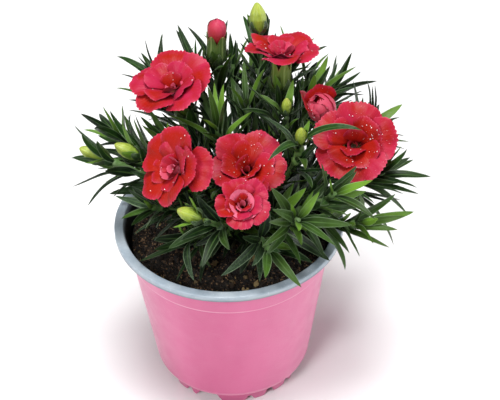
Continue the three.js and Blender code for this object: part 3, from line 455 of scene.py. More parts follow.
def petalSurface(petal, u, v, rise=0.0, ray=None, wave=0.0):
    # a fan on an arc that opens from lift to fall, cupped across, ruffled and leaning to one side
    claw = 0.42 + 0.58 * smooth(np.minimum(1, u / 0.5))
    fan = petal["spread"] * v * claw
    ray = petal["length"] * u * (1 - 0.17 * v**4) if ray is None else ray
    along, across = ray * np.cos(fan), ray * np.sin(fan)
    bend = petal["fall"] - petal["lift"]
    radius = petal["length"] / bend
    angle = petal["lift"] + bend * along / petal["length"]
    ruffled = petal["ruffle"] * u * u * np.sin(petal["waves"] * fan + petal["phase"])
    lift = petal["cup"] * across**2 / petal["length"] + ruffled + petal["lean"] * across + rise + wave
    out = radius * (math.cos(petal["lift"]) - np.cos(angle)) - lift * np.cos(angle)
    rising = radius * (np.sin(angle) - math.sin(petal["lift"])) + lift * np.sin(angle)
    return inFrame(petal["axes"], petal["origin"], petal["root"] + out, across, rising)


def petalsOf(stem):
    if stem["head"] not in ("bloom", "openingBud"):
        return []
    return [layPetal(stem, ring, i, seeds["petals"] + stem["index"] * 211 + ring * 17 + i)
            for ring, whorl in enumerate(petalWhorls(stem["head"])) for i in range(whorl[0])]


# room: cells that remember their owner, so that leaves, wood and petals keep apart

around = np.array([(a, b, c) for a in (-1, 0, 1) for b in (-1, 0, 1) for c in (-1, 0, 1)])


def newRoom(cell, wide, tall):
    owner = np.full((wide, wide, tall), -1, np.int32)
    return {"cell": cell, "middle": (wide // 2, wide // 2, 0), "owner": owner}


def cellsOf(room, points):
    found = np.floor(points.reshape(-1, 3) / room["cell"]).astype(int) + room["middle"]
    return np.clip(found, 1, np.array(room["owner"].shape) - 2)


def take(room, points, owner):
    # gives the free cells at and next to the points to an owner
    near = (cellsOf(room, points)[:, None] + around).reshape(-1, 3)
    near = near[room["owner"][near[:, 0], near[:, 1], near[:, 2]] < 0]
    room["owner"][near[:, 0], near[:, 1], near[:, 2]] = owner


def ownersAt(room, points):
    at = cellsOf(room, points)
    found = room["owner"][at[:, 0], at[:, 1], at[:, 2]]
    return found[found >= 0]


def sampleGrid(long, across, start=0.0):
    # shares of the length from start to 1, and places across from -1 to 1
    shares = start + (1 - start) * np.arange(long + 1) / long
    return np.meshgrid(shares, 2 * np.arange(across + 1) / across - 1, indexing="ij")


def tubeSamples(pointAt, radius):
    # level rings of points round a path
    share, v = sampleGrid(100, 6)
    ring = np.stack([np.cos(v * np.pi), np.sin(v * np.pi), 0 * v], -1)
    return pointAt(share) + ring * radius


def headSpan(stem):
    # how far a head reaches below and above the throat
    if stem["head"] == "leafyTip":
        return 0, 0
    if stem["head"] == "greenBud":
        return 0, greenBudSizes["length"] * stem["diameter"]
    return -calyxSizes["length"], redBudSizes["length"] if stem["head"] == "redBud" else 2


def onAxis(stem, low, high):
    return lambda share: stem["throat"] + stem["axis"] * (low + (high - low) * share)[..., None]


def clearsPot(points):
    # above the soil within the rim, above the rim where that is below, and not far down outside
    spread = np.hypot(points[..., 0], points[..., 1])
    innerEdge = pot["rimRadius"] - pot["lipWidth"] - 4
    floor = np.where(spread < innerEdge, soilTop + 2.4,
                     np.where(spread < pot["rimRadius"] + 1.6, pot["height"] + 1.4, pot["height"] * 0.6))
    return bool((points[..., 2] > floor).all())


def takeWood(room, stem):
    own = stem["index"] * perStem
    take(room, tubeSamples(lambda share: pointOnStem(stem, share), 1.0), own)
    low, high = headSpan(stem)
    if high > low:
        take(room, tubeSamples(onAxis(stem, low, high), calyxSizes["radius"]), own)


def hasRoom(greens, reds, whole, stem, owner, bladeFrom, tipFrom):
    # the blade clears the pot, the petals and other stems' leaves, and its tip its own stem's leaves too
    blade, tip = whole[bladeFrom:], whole[tipFrom:]
    if not clearsPot(blade) or len(ownersAt(reds, whole)):
        return False
    if (ownersAt(greens, blade) // perStem != stem["index"]).any():
        return False
    return np.isin(ownersAt(greens, tip), (stem["index"] * perStem, owner)).all()


def layAllLeaves():
    # the same order, draws and cells of 1.6 mm as the solids have, so the same leaves come out
    greens, reds = newRoom(1.6, 160, 224), newRoom(1.6, 160, 224)
    for stem in stems:
        takeWood(greens, stem)
    for stem in stems:
        for petal in petalsOf(stem):
            take(reds, petalSurface(petal, *sampleGrid(20, 20, 0.1)), stem["index"])
        if stem["head"] == "bloom":
            for radius in (2, 6, 10):
                take(reds, tubeSamples(onAxis(stem, 10, 24), radius), stem["index"])
    s, v = sampleGrid(28, 6)

    def lay(stem, leaf, owner):
        whole = leafSurface(leaf, s, v)
        if not hasRoom(greens, reds, whole, stem, owner, 3, 8):
            return False
        take(greens, whole, owner)
        stem["leaves"].append(leaf)
        return True

    for i, (number, place, tip, start, width) in enumerate(placedLeaves):
        stem = stems[number - 1]
        leaf = aimLeaf(stem, place, tip, start, width, seeds["placedLeaves"] + i)
        lay(stem, leaf, stem["index"] * perStem + 50)
    for pair in range(max(stem["pairs"] for stem in stems)):
        for stem in stems:
            for side in range(2 if pair < stem["pairs"] else 0):
                depth = pair / (stem["pairs"] - 1)
                young = smooth(min(1, (pair + 1.1) / 3))
                seed = stem["index"] * 1009 + pair * 31 + side * 7
                for attempt in leafTries:
                    leaf = layLeaf(stem, pair, side, attempt, seed, depth, young)
                    if lay(stem, leaf, stem["index"] * perStem + pair + 1):
                        break
    return reds


moreLeaves = {
    "cell": 0.7, "rounds": 130, "tufts": 0.3, "places": (0.10, 0.97), "length": (17, 19), "width": (3.6, 2.8),
    "tuftLength": (8, 9), "tuftWidth": (2.6, 1.4), "shorten": 0.4, "fillWidth": 4.8,
    "margin": 1.0, "tallest": 183, "hangsFrom": 58, "overRim": 22,  # none hangs lower beyond this radius
}


def moreLeaf(stem, seed, side, shorter):
    # a pair of full leaves, or one of a tuft of short young leaves, at a drawn place on the stem
    d, e = draws(seed, 6), draws(seed + side * 17 + 5, 5)
    tuft = d[0] < moreLeaves["tufts"]
    low, high = moreLeaves["places"]
    place = low + (high - low) * d[1] ** 0.9
    base, extra = moreLeaves["tuftLength" if tuft else "length"]
    thin, wider = moreLeaves["tuftWidth" if tuft else "width"]
    start = 12 + 14 * e[0] if tuft else 14 + 26 * e[0]
    end = start + 8 + 34 * e[1] if tuft else start + 8 + 66 * e[1] ** 1.5 * (1.15 - 0.6 * place)
    turn = 360 * d[2] + 180 * side + 24 * (e[2] - 0.5)
    return {
        "root": pointOnStem(stem, place), "place": place, "seed": seed + side,
        "axes": framesAlong(tangentOf(stem["ends"], place), turn),
        "length": (base + extra * d[3] * (0.9 + 0.2 * e[3])) * shorter,
        "width": (thin + wider * d[4]) * shorter**0.5,
        "start": math.radians(start), "end": math.radians(end), "roll": math.radians((e[4] - 0.5) * 60),
        "depth": 1 - place, "young": 0.25 + 0.5 * d[5] if tuft else 1.0 if d[5] < 0.8 else 0.6,
    }


def growMoreLeaves(reds):
    # tries leaves on every stem in turn and keeps those that have room among all the others
    room = newRoom(moreLeaves["cell"], 330, 290)
    s, v = sampleGrid(40, 8)
    lowest = np.array(cadBox[0]) * 1000 - moreLeaves["margin"]
    highest = np.array(cadBox[1]) * 1000 + moreLeaves["margin"]
    for stem in stems:
        takeWood(room, stem)
        for leaf in stem["leaves"]:
            take(room, leafSurface(leaf, s, v), stem["index"] * perStem + 99)
    for stem in stems:
        for petal in petalsOf(stem):
            wide = dict(petal, spread=petal["spread"] * 1.15)
            take(room, petalSurface(wide, *sampleGrid(30, 30, 0.1)), len(stems) * perStem)
    grown = 0
    for turn in range(moreLeaves["rounds"]):
        shorter = 1 - moreLeaves["shorten"] * turn / moreLeaves["rounds"]
        for stem in stems:
            owner = stem["index"] * perStem + 1 + turn
            for side in range(2):
                seed = seeds["moreLeaves"] + stem["index"] * 977 + turn * 53
                leaf = moreLeaf(stem, seed, side, shorter)
                whole = leafSurface(leaf, s, v)
                end = whole[-1].mean(0)
                outside = np.hypot(end[0], end[1]) > moreLeaves["hangsFrom"]
                if outside and end[2] < pot["height"] + moreLeaves["overRim"]:
                    continue
                if end[2] > moreLeaves["tallest"] or (whole <= lowest).any() or (whole >= highest).any():
                    continue
                if hasRoom(room, reds, whole, stem, owner, 4, 12):
                    take(room, whole, owner)
                    stem["leaves"].append(leaf)
                    grown += 1
    return grown


airTaken = layAllLeaves()
print("leaves as in the solids:", sum(len(stem["leaves"]) for stem in stems))
for i, (number, place, tip, start) in enumerate(fillLeaves):
    seed = seeds["filledLeaves"] + i * 31
    leaf = aimLeaf(stems[number - 1], place, tip, start, moreLeaves["fillWidth"], seed)
    stems[number - 1]["leaves"].append(leaf)
print("more leaves:", growMoreLeaves(airTaken))


# materials

work = {}  # the node tree and the shader of the finish that is being made


def newFinish(name, **sockets):
    finish = bpy.data.materials.new(name)
    finish.use_nodes = True
    work["tree"] = finish.node_tree
    work["shader"] = finish.node_tree.nodes["Principled BSDF"]
    for key, value in sockets.items():
        work["shader"].inputs[key.replace("_", " ")].default_value = value
    return finish


def node(kind, inputs=None, **settings):
    made = work["tree"].nodes.new(kind)
    for key, value in settings.items():
        setattr(made, key, value)
    for key, value in (inputs or {}).items():
        socket = made.inputs[key]
        if isinstance(value, bpy.types.NodeSocket):
            work["tree"].links.new(value, socket)
        else:
            socket.default_value = (*value, 1.0) if socket.type == "RGBA" else value
    return made


def blend(share, below, above):
    return node("ShaderNodeMix", {0: share, 6: below, 7: above}, data_type="RGBA").outputs[2]


def coated(base, coats):
    # each coat is a share and a colour that lies over what is below it by that share
    for share, shade in coats:
        base = blend(share, base, shade)
    return base


def maths(operation, first, second=0.0):
    return node("ShaderNodeMath", {0: first, 1: second}, operation=operation).outputs[0]


def times(first, second):
    return maths("MULTIPLY", first, second)


def plus(first, second):
    return maths("ADD", first, second)


def ribbed(across, waves, depth):
    # sine ribs from side to side
    return times(maths("SINE", times(across, waves)), depth)


def ramped(value, low, high, toLow=0.0, toHigh=1.0):
    inputs = {"Value": value, "From Min": low, "From Max": high, "To Min": toLow, "To Max": toHigh}
    return node("ShaderNodeMapRange", inputs, interpolation_type="SMOOTHSTEP").outputs[0]


def objectPlace():
    return node("ShaderNodeTexCoord").outputs["Object"]


def surfacePlace():
    # the piece's own UV map: along from root to tip, and across
    flat = node("ShaderNodeUVMap", uv_map="surface").outputs[0]
    split = node("ShaderNodeSeparateXYZ", {0: flat})
    return flat, split.outputs[0], split.outputs[1]


def attributeOf(name):
    return node("ShaderNodeAttribute", attribute_name=name).outputs["Fac"]


def noiseOf(scale, detail=3.0, roughness=0.55, place=None, stretch=(1, 1, 1)):
    # metres in Object coordinates, so a scale of 1000 gives patches of about a millimetre
    turned = node("ShaderNodeMapping", {"Vector": place or objectPlace(), "Scale": stretch}).outputs[0]
    inputs = {"Vector": turned, "Scale": scale, "Detail": detail, "Roughness": roughness}
    return node("ShaderNodeTexNoise", inputs).outputs["Fac"]


def patchy(scale, detail, low, high):
    return ramped(noiseOf(scale, detail), 0.3, 0.7, low, high)


def settle(base, rough=None, height=None, distance=0.0, strength=0.0):
    # joins a finish's colour, roughness and fine relief to its shader
    joins = [(base, "Base Color"), (rough, "Roughness")]
    if height:
        bump = node("ShaderNodeBump", {"Height": height, "Distance": distance, "Strength": strength})
        joins.append((bump.outputs[0], "Normal"))
    for value, key in joins:
        if value:
            work["tree"].links.new(value, work["shader"].inputs[key])


# deep is the colour of leaves in painted shade in the thick of the plant, and shade the painted shade at
# their roots
leafFinish = {
    "deep": (0.001, 0.0035, 0.0015), "mid": (0.020, 0.066, 0.008), "fresh": (0.17, 0.34, 0.03),
    "bloomed": (0.17, 0.25, 0.16), "underBloom": (0.012, 0.035, 0.013), "shade": (0.002, 0.006, 0.003),
    "streak": (0.004, 0.018, 0.006), "rib": (0.12, 0.24, 0.06), "edge": (0.30, 0.42, 0.24),
}


def makeLeafFinish():
    # tone is a random darkness times painted shade in the thick of the plant, going up outwards from there;
    # youth is above 0 where young and below 0 where silvery
    shades = leafFinish
    finish = newFinish("foliage", IOR=1.45, Specular_IOR_Level=0.32)
    flat, along, across = surfacePlace()
    tone, youth = attributeOf("tone"), attributeOf("youth")
    width, silver = maths("ABSOLUTE", across), ramped(youth, 0.0, -0.8)
    powder = ramped(noiseOf(620, 5, 0.7), 0.46, 0.66, 0.2, 1.0)
    blotch = ramped(noiseOf(260, 4), 0.48, 0.8, 0.0, 0.3)
    streaks = ramped(noiseOf(9, 4, 0.7, flat, (1.2, 7, 1)), 0.35, 0.7, 0.0, 0.35)
    base = coated(shades["deep"], [
        # painted shade: leaves with a low tone keep the near black deep colour
        (tone, shades["mid"]),
        (ramped(youth, 0.0, 1.0), shades["fresh"]),
        (times(silver, 0.5), shades["underBloom"]),
        (times(silver, powder), shades["bloomed"]),
        (times(blotch, plus(tone, 0.1)), shades["bloomed"]),
        # painted shade towards each leaf's root, inside the plant
        (ramped(along, 0.0, 0.65, 0.93, 0.0), shades["shade"]),
        (streaks, shades["streak"]),
        (times(ramped(width, 0.02, 0.16, 1.0, 0.0), ramped(along, 0.3, 1.0, 0.55, 0.1)), shades["rib"]),
        (times(ramped(width, 0.8, 0.96), ramped(silver, 0.0, 1.0, 0.4, 1.0)), shades["edge"]),
    ])
    relief = plus(ribbed(across, 22.0, 0.3), noiseOf(900, 3))
    settle(base, patchy(700, 2, 0.30, 0.48), relief, 0.0002, 0.5)
    return finish


# throat is the painted shade deep in the bloom; pink is crimson that also stands in for a painted sheen
petalFinish = {
    "red": (0.325, 0.0105, 0.0035), "pink": (0.41, 0.016, 0.06), "pale": (0.80, 0.19, 0.30),
    "ray": (0.42, 0.004, 0.012), "throat": (0.09, 0.001, 0.003), "claw": (0.72, 0.20, 0.13),
}


def makePetalFinish(name, paintedThroatShade):
    # youth is 0 on a petal's face and 1 underneath; red with crimson patches that are partly a painted pink
    # sheen, pinker margins that are also partly painted sheen, painted glints, painted shade in the throat,
    # paler below
    shades = petalFinish
    finish = newFinish(name, Sheen_Weight=0.02, Sheen_Roughness=0.4, Sheen_Tint=(1.0, 0.4, 0.42, 1.0),
                       Specular_IOR_Level=0.14, Roughness=0.42)
    flat, along, across = surfacePlace()
    tone, under = attributeOf("tone"), attributeOf("youth")
    crimsonAndSheen, face = plus(noiseOf(75, 2, 0.5), times(tone, 0.45)), ramped(under, 0.0, 0.5, 1.0, 0.0)
    rays = noiseOf(6, 3, 0.6, flat, (0.5, 9, 1))
    glints = noiseOf(7, 4, 0.6, flat, (1.4, 8, 1))
    base = coated(shades["red"], [
        # crimson patches that are partly a painted pink sheen, then pinker margins, partly painted sheen too
        (ramped(crimsonAndSheen, 0.62, 0.98), shades["pink"]),
        (ramped(along, 0.8, 1.0, 0.0, 0.55), shades["pink"]),
        (times(under, 0.3), shades["pale"]),
        (ramped(rays, 0.3, 0.62, 0.3, 0.0), shades["ray"]),
        # painted highlight: pale glints in streaks out towards the margin
        (times(ramped(glints, 0.56, 0.78, 0.0, 0.4), ramped(along, 0.35, 0.8)), shades["pale"]),
        # painted shade deep in the bloom, on the face near the claw
        (times(ramped(along, 0.1, 0.5, paintedThroatShade, 0.0), face), shades["throat"]),
        (times(ramped(along, 0.16, 0.4, 0.85, 0.0), ramped(under, 0.5, 0.9)), shades["claw"]),
    ])
    settle(base, None, plus(ribbed(across, 46.0, 0.12), noiseOf(300, 3)), 0.0003, 0.4)
    return finish


budFinish = {
    # from old to young at the root and at the tip
    "lower": [(0.030, 0.070, 0.011), (0.24, 0.36, 0.035)],
    "upper": [(0.065, 0.10, 0.018), (0.50, 0.58, 0.06)],
    "seam": (0.60, 0.70, 0.26), "lining": (0.10, 0.004, 0.006), "stripe": (0.10, 0.19, 0.03),
    "blush": (0.36, 0.12, 0.06), "bract": (0.010, 0.034, 0.008), "margin": (0.26, 0.36, 0.14),
}


def makeBudFinish():
    # youth goes from deep to yellow green, and below 0 to the red lining; a tone above 0.5 marks a bract
    shades = budFinish
    finish = newFinish("bud green", Specular_IOR_Level=0.5)
    flat, along, across = surfacePlace()
    youth, tone = attributeOf("youth"), attributeOf("tone")
    lower, upper = blend(youth, *shades["lower"]), blend(youth, *shades["upper"])
    bract = ramped(tone, 0.52, 0.6)
    blush = times(ramped(along, 0.86, 1.0), ramped(noiseOf(300, 2), 0.5, 0.7))
    base = coated(blend(ramped(along, 0.25, 0.95), lower, upper), [
        (ramped(maths("SINE", times(across, 2 * math.pi * 5)), 0.75, 1.0, 0.0, 0.25), shades["seam"]),
        (ramped(youth, 0.0, -0.6), shades["lining"]),
        (ramped(noiseOf(14, 3, 0.6, flat, (0.35, 6, 1)), 0.4, 0.65, 0.0, 0.5), shades["stripe"]),
        (times(blush, 0.5), shades["blush"]),
        (times(bract, 0.8), shades["bract"]),
        (times(bract, ramped(maths("ABSOLUTE", across), 0.78, 1.0, 0.0, 0.6)), shades["margin"]),
    ])
    relief = plus(ribbed(across, 2 * math.pi * 20, 0.3), noiseOf(800, 3))
    settle(base, patchy(600, 2, 0.38, 0.55), relief, 0.0003, 0.5)
    return finish


# shade is the painted shade low on the stems
stemFinish = {
    "old": (0.035, 0.09, 0.025), "young": (0.16, 0.29, 0.07), "waxy": (0.2, 0.26, 0.14),
    "shade": (0.008, 0.016, 0.005), "woody": (0.05, 0.033, 0.018),
}


def makeStemFinish():
    shades = stemFinish
    finish = newFinish("stem green", Specular_IOR_Level=0.45)
    along = surfacePlace()[1]
    base = coated(shades["old"], [
        (attributeOf("youth"), shades["young"]),
        (ramped(noiseOf(350, 3), 0.4, 0.7, 0.0, 0.45), shades["waxy"]),
        # painted shade down the stem towards the soil, in the thick of the plant
        (ramped(along, 0.1, 0.8, 0.85, 0.0), shades["shade"]),
        (ramped(along, 0.0, 0.2, 0.6, 0.0), shades["woody"]),
    ])
    settle(base, patchy(900, 2, 0.4, 0.6), noiseOf(700, 3, 0.6, None, (1, 1, 0.25)), 0.0003, 0.5)
    return finish


potFinish = {
    "pink": (0.60, 0.088, 0.245), "pinkDeep": (0.52, 0.065, 0.20), "dust": (0.80, 0.42, 0.56),
    "foot": (0.42, 0.06, 0.17), "grey": (0.29, 0.355, 0.42), "greyLight": (0.43, 0.49, 0.545),
    "specks": (0.7, 0.74, 0.78), "inside": (0.012, 0.014, 0.016),
    # thin painted lines round the wall, a painted highlight on the stacking step's edge, painted shadow under
    # it and painted shade in the crease over the foot: height and reach in millimetres, strength, colour
    "lines": [(80.9, 0.7, 0.35, (0.86, 0.46, 0.60)), (80.1, 0.9, 0.5, (0.38, 0.035, 0.14)),
              (6.5, 1.2, 0.85, (0.24, 0.012, 0.075))],
}


def makePinkFinish():
    shades = potFinish
    finish = newFinish("pink plastic", Specular_IOR_Level=0.45, Sheen_Weight=0.45, Sheen_Roughness=0.5,
                       Sheen_Tint=(1.0, 0.82, 0.9, 1.0))
    where = objectPlace()
    height = node("ShaderNodeSeparateXYZ", {0: where}).outputs[2]
    cloud = noiseOf(22, 3, 0.5, where, (1, 1, 0.45))
    scuffs = noiseOf(240, 6, 0.75, where, (0.3, 0.3, 2.4))
    # noise that breaks up the painted lines so they are faint in places
    linesBroken = ramped(noiseOf(45, 3, 0.6, where), 0.35, 0.6, 0.3, 1.0)
    coats = [
        (ramped(cloud, 0.35, 0.68), shades["pink"]),
        (ramped(scuffs, 0.60, 0.78, 0.0, 0.22), shades["dust"]),
    ]
    # painted highlight and shadow at the stacking step, and painted shade at the foot
    for at, reach, strength, shade in shades["lines"]:
        off = maths("ABSOLUTE", maths("SUBTRACT", height, at / 1000))
        coats.append((times(ramped(off, reach / 4000, reach / 1000, strength, 0.0), linesBroken), shade))
    coats.append((ramped(height, 0.0, 0.012, 0.25, 0.0), shades["foot"]))
    grain = plus(noiseOf(1500, 2), times(noiseOf(30, 2), 2.0))
    settle(coated(shades["pinkDeep"], coats), patchy(120, 4, 0.36, 0.52), grain, 0.00012, 0.4)
    return finish


def makeRimFinish():
    shades = potFinish
    finish = newFinish("grey plastic", Specular_IOR_Level=0.5)
    where = objectPlace()
    height = node("ShaderNodeSeparateXYZ", {0: where}).outputs[2]
    base = coated(shades["grey"], [
        (ramped(noiseOf(60, 4, 0.6, where, (1, 1, 3)), 0.38, 0.66), shades["greyLight"]),
        (ramped(noiseOf(900, 3, 0.6, where), 0.62, 0.72, 0.0, 0.5), shades["specks"]),
        # painted shade below the rim's top: near black on the pot's inside, fading in over the lip's lower
        # edge
        (ramped(height, 0.0935, 0.0968, 1.0, 0.0), shades["inside"]),
    ])
    settle(base, patchy(260, 3, 0.3, 0.5), noiseOf(1100, 3), 0.00015, 0.5)
    return finish


soilFinish = {
    "wet": (0.0016, 0.0013, 0.001), "damp": (0.022, 0.013, 0.008), "clod": (0.09, 0.05, 0.026),
    "straw": (0.42, 0.30, 0.13), "grit": (0.36, 0.21, 0.11),
}


def makeSoilFinish():
    shades = soilFinish
    finish = newFinish("damp peat", Specular_IOR_Level=0.5)
    tone, where = attributeOf("tone"), objectPlace()
    cells = node("ShaderNodeTexVoronoi", {"Vector": where, "Scale": 1250.0}).outputs["Color"]
    pick = node("ShaderNodeSeparateColor", {0: cells})
    base = coated(shades["wet"], [
        (ramped(noiseOf(420, 5, 0.65, where), 0.38, 0.66), shades["damp"]),
        (ramped(tone, 0.55, 0.95, 0.0, 0.45), shades["clod"]),
        (ramped(tone, 0.93, 1.0, 0.0, 0.9), shades["straw"]),
        (ramped(pick.outputs[0], 0.88, 0.97, 0.0, 0.85), shades["grit"]),
    ])
    rough = ramped(pick.outputs[1], 0.2, 0.9, 0.45, 0.95)
    settle(base, rough, noiseOf(1300, 6, 0.7, where), 0.0009, 0.9)
    return finish


# clear water drops painted pale pink to white as painted glints, some dimmer, picked at random by tone
waterFinish = {"glintDim": (0.62, 0.25, 0.32), "glintBright": (0.97, 0.90, 0.92)}


def makeWaterFinish():
    finish = newFinish("water", Roughness=0.06, IOR=1.33, Specular_IOR_Level=0.9)
    base = blend(ramped(attributeOf("tone"), 0.2, 0.8), waterFinish["glintDim"], waterFinish["glintBright"])
    settle(base, None, noiseOf(2500, 1), 0.00005, 0.3)
    return finish


finishes = {
    # the number after each petal finish's name is how much painted shade lies in the throat
    "leaf": makeLeafFinish(), "petal": makePetalFinish("red petals", 0.8),
    "throat": makePetalFinish("dark throated petals", 1.0), "bud": makeBudFinish(), "stem": makeStemFinish(),
    "pink": makePinkFinish(), "grey": makeRimFinish(), "soil": makeSoilFinish(), "water": makeWaterFinish(),
}
print("finishes made:", len(finishes))


# the pot

def wallRadius(z):
    # straight taper, and set in below the stacking line by a share that fades towards the foot
    share = (z - pot["footHeight"]) / (pot["height"] - pot["footHeight"])
    below = z < pot["height"] - pot["stepBelow"] + 0.1
    inset = pot["stepInset"] * np.maximum(0, share) * below
    return pot["footRadius"] + (pot["topRadius"] - pot["footRadius"]) * share - inset


def rounded(corners, radius, steps=3):
    # each corner of a profile becomes a quadratic arc that starts and ends radius away from it
    corners = np.array(corners, float)
    made = [corners[:1]]
    for before, at, after in zip(corners, corners[1:], corners[2:]):
        low, high = np.linalg.norm(before - at), np.linalg.norm(after - at)
        reach = min(radius, low * 0.45, high * 0.45)
        t = np.linspace(0, 1, steps + 1)[:, None]
        start, end = at + (before - at) / low * reach, at + (after - at) / high * reach
        made.append((1 - t) ** 2 * start + 2 * t * (1 - t) * at + t * t * end)
    return np.concatenate(made + [corners[-1:]])


def lathe(profile, columns, lift=None):
    # each [radius, height] of the profile is carried round the axis, and may be lifted by a function
    theta = turnsOf(columns)
    radius, height = profile[:, :1] + 0 * theta, profile[:, 1:] + 0 * theta
    if lift:
        height = height + lift(radius, height, theta)
    return np.stack([radius * np.cos(theta), radius * np.sin(theta), height], -1)


def notchAt(theta):
    # 1 in the gap of each quarter and 0 on the feet, eased over a short slope, with small bites between
    sector = theta / (2 * np.pi) * pot["sectors"]
    pattern = np.array(pot["pattern"])
    count = len(pattern)
    near = np.arange(-0.45, 0.46, 0.15) * 0.6
    gap = np.mean([pattern[np.round(sector + step).astype(int) % count] for step in near], 0)
    for middle, width, depth in pot["bites"]:
        off = (sector - middle + count / 2) % count - count / 2
        gap = np.maximum(gap, depth * np.exp(-np.abs(off / width) ** 3))
    return gap


def footLift(radius, height, theta):
    onRing = (height < 0.6) & (radius > pot["ringInner"] - 0.8)
    return notchAt(theta) * pot["notch"] * onRing


def cutDrains(piece):
    # five short drums through the floor, each a circle carried upwards, are taken out of the piece
    theta = turnsOf(40)
    reach = pot["drainRadius"] * np.array([0.0, 1.0, 1.0, 0.0])[:, None]
    height = pot["ringHeight"] + np.array([-1.5, -1.5, 2.5, 2.5])[:, None] + 0 * theta
    bag = newBag()
    for k in range(pot["drains"]):
        turn = (k + 0.5) * 2 * np.pi / pot["drains"]
        x = pot["drainRing"] * math.cos(turn) + reach * np.cos(theta)
        y = pot["drainRing"] * math.sin(turn) + reach * np.sin(theta)
        addRings(bag, np.stack([x, y, height], -1), *evenly(4, 40))
    drums = meshOf("drain_drums", bag)
    weld(drums)
    holder = linked("drain_drums", drums)
    cut = piece.modifiers.new("drains", "BOOLEAN")
    cut.operation, cut.solver, cut.object = "DIFFERENCE", "EXACT", holder
    whole, name = piece.data, piece.data.name
    drained = bpy.data.meshes.new_from_object(piece.evaluated_get(bpy.context.evaluated_depsgraph_get()))
    piece.modifiers.clear()
    piece.data = drained
    bpy.data.meshes.remove(whole)
    bpy.data.objects.remove(holder)
    bpy.data.meshes.remove(drums)
    drained.name = name
    drained.set_sharp_from_angle(angle=math.radians(pot["crease"]))


def makePot():
    # the pink skin outside with the foot, and the grey sheet that lines it and turns out as the rim
    top, skin, wall, gap = pot["height"], pot["skin"], pot["wall"], 0.08
    step, under = top - pot["stepBelow"], top - pot["lipDrop"] - 0.05
    ring, plate, foot, footHeight = pot["ringOuter"], pot["ringHeight"], pot["footRadius"], pot["footHeight"]
    stepRadius, topRadius, rimRadius = float(wallRadius(step)), pot["topRadius"], pot["rimRadius"]
    outside = [
        [0, 0], [pot["centreFoot"], 0], [pot["centreFoot"] + 1.6, plate], [pot["ringInner"] - 1, plate],
        [pot["ringInner"], 0], [ring, 0], [ring + 0.3, plate], [ring + 1.3, plate + 0.3],
        [foot - 1, plate + 2.6], [foot, footHeight], [stepRadius, step],
        [float(wallRadius(step + 0.8)), step + 0.8], [topRadius, under],
    ]
    liner = [
        [topRadius - skin, under], [stepRadius - skin, step], [foot - skin, footHeight],
        [ring + 1.0, plate + 0.6], [0, plate + 0.5],
    ]
    rim = [
        [topRadius - skin - gap, under - 3], [topRadius - skin - gap, under + 0.3],
        [rimRadius - 1.3, under + 0.3], [rimRadius - 1.3, under], [rimRadius, under], [rimRadius, top],
        [rimRadius - pot["lipWidth"], top], [stepRadius - wall, step], [foot - wall, footHeight],
        [ring + 0.5, plate + 1.0], [0.0, plate + 1.0],
    ]
    inner = [
        [0.0, plate + 0.6], [ring + 0.8, plate + 0.7], [foot - skin - gap, footHeight],
        [stepRadius - skin - gap, step], [topRadius - skin - gap, under - 3],
    ]
    skinProfile = np.concatenate([rounded(outside, 0.55), rounded([outside[-1]] + liner, 0.3)[1:]])
    rimProfile = np.concatenate([rounded(rim, 0.95, 5), rounded(inner, 0.3)])
    sheets = [
        ("pot_wall", "pink", "pot_plastic", np.concatenate([skinProfile[:1], skinProfile]), footLift),
        ("pot_rim", "grey", "rim_plastic", rimProfile, None),
    ]
    for name, finish, slotName, profile, lift in sheets:
        bag = newBag()
        points = lathe(profile, pot["columns"], lift)
        addRings(bag, points, *evenly(len(profile), pot["columns"]))
        cutDrains(finishPiece(name, bag, finishes[finish], "pot", pot["crease"]))


makePot()
print("pot made")


# the soil

soil = {"rings": 110, "columns": 260, "clods": 2300, "fibres": 170, "seed": 5, "tone": 0.35}
soilEdge = float(wallRadius(soilTop - 2)) - pot["stepInset"] - pot["wall"] - 0.45


def soilHeight(x, y):
    # two long waves and three sizes of random patches, level towards the wall
    spread = np.hypot(x, y) / soilEdge
    waves = 0.9 * np.sin(0.31 * x + 1.3) * np.cos(0.27 * y) + 0.6 * np.sin(0.83 * x - 0.71 * y)
    fine = 0.8 * patches(x, y, 3.1, 1) + 0.5 * patches(x, y, 1.5, 2) + 0.25 * patches(x, y, 0.8, 3)
    return soilTop + (waves + fine) * np.minimum(1, 2.4 - 2.4 * spread)


def makeSoilBody():
    floor = pot["ringHeight"] + pot["wall"] + 0.35
    theta = turnsOf(soil["columns"])
    share = np.linspace(0, 1, soil["rings"])[:, None] ** 0.8
    x, y = (soilEdge - 0.3) * share * np.cos(theta), (soilEdge - 0.3) * share * np.sin(theta)
    surface = np.stack([x, y, soilHeight(x, y)], -1)[::-1]
    side = [
        [0, floor], [pot["ringOuter"], floor],
        [pot["footRadius"] - pot["wall"] - 0.45, pot["footHeight"] + 0.2], [soilEdge, soilTop - 2.0],
    ]
    whole = np.concatenate([lathe(np.array(side), soil["columns"]), surface])
    bag = newBag()
    addRings(bag, whole, *evenly(len(whole), soil["columns"]), soil["tone"])
    finishPiece("soil_body", bag, finishes["soil"], "soil", 80)


def scattered(rng, count, inset):
    # places spread evenly over the soil
    r = (soilEdge - inset) * np.sqrt(rng.random(count))
    a = rng.random(count) * 2 * np.pi
    return r * np.cos(a), r * np.sin(a)


def makeClods(rng):
    # small balls, each stretched and with every point moved in or out
    count = soil["clods"]
    x, y = scattered(rng, count, 2.2)
    size = 0.45 + 1.25 * rng.random(count) ** 2.6
    jitter = 1 + 0.28 * rng.standard_normal((count, 6, 7, 1))
    jitter[:, 0] = jitter[:, 0, :1]
    jitter[:, -1] = jitter[:, -1, :1]
    stretch = 0.7 + 0.6 * rng.random((count, 1, 1, 3))
    clods = smallBall(7) * jitter * stretch * size[:, None, None, None]
    centres = np.stack([x, y, soilHeight(x, y) + size * 0.3], -1)
    bag = newBag()
    addRings(bag, clods + centres[:, None, None], 0.5, 0.5, rng.random(count))
    finishPiece("soil_crumbs", bag, finishes["soil"], "soil", 40)


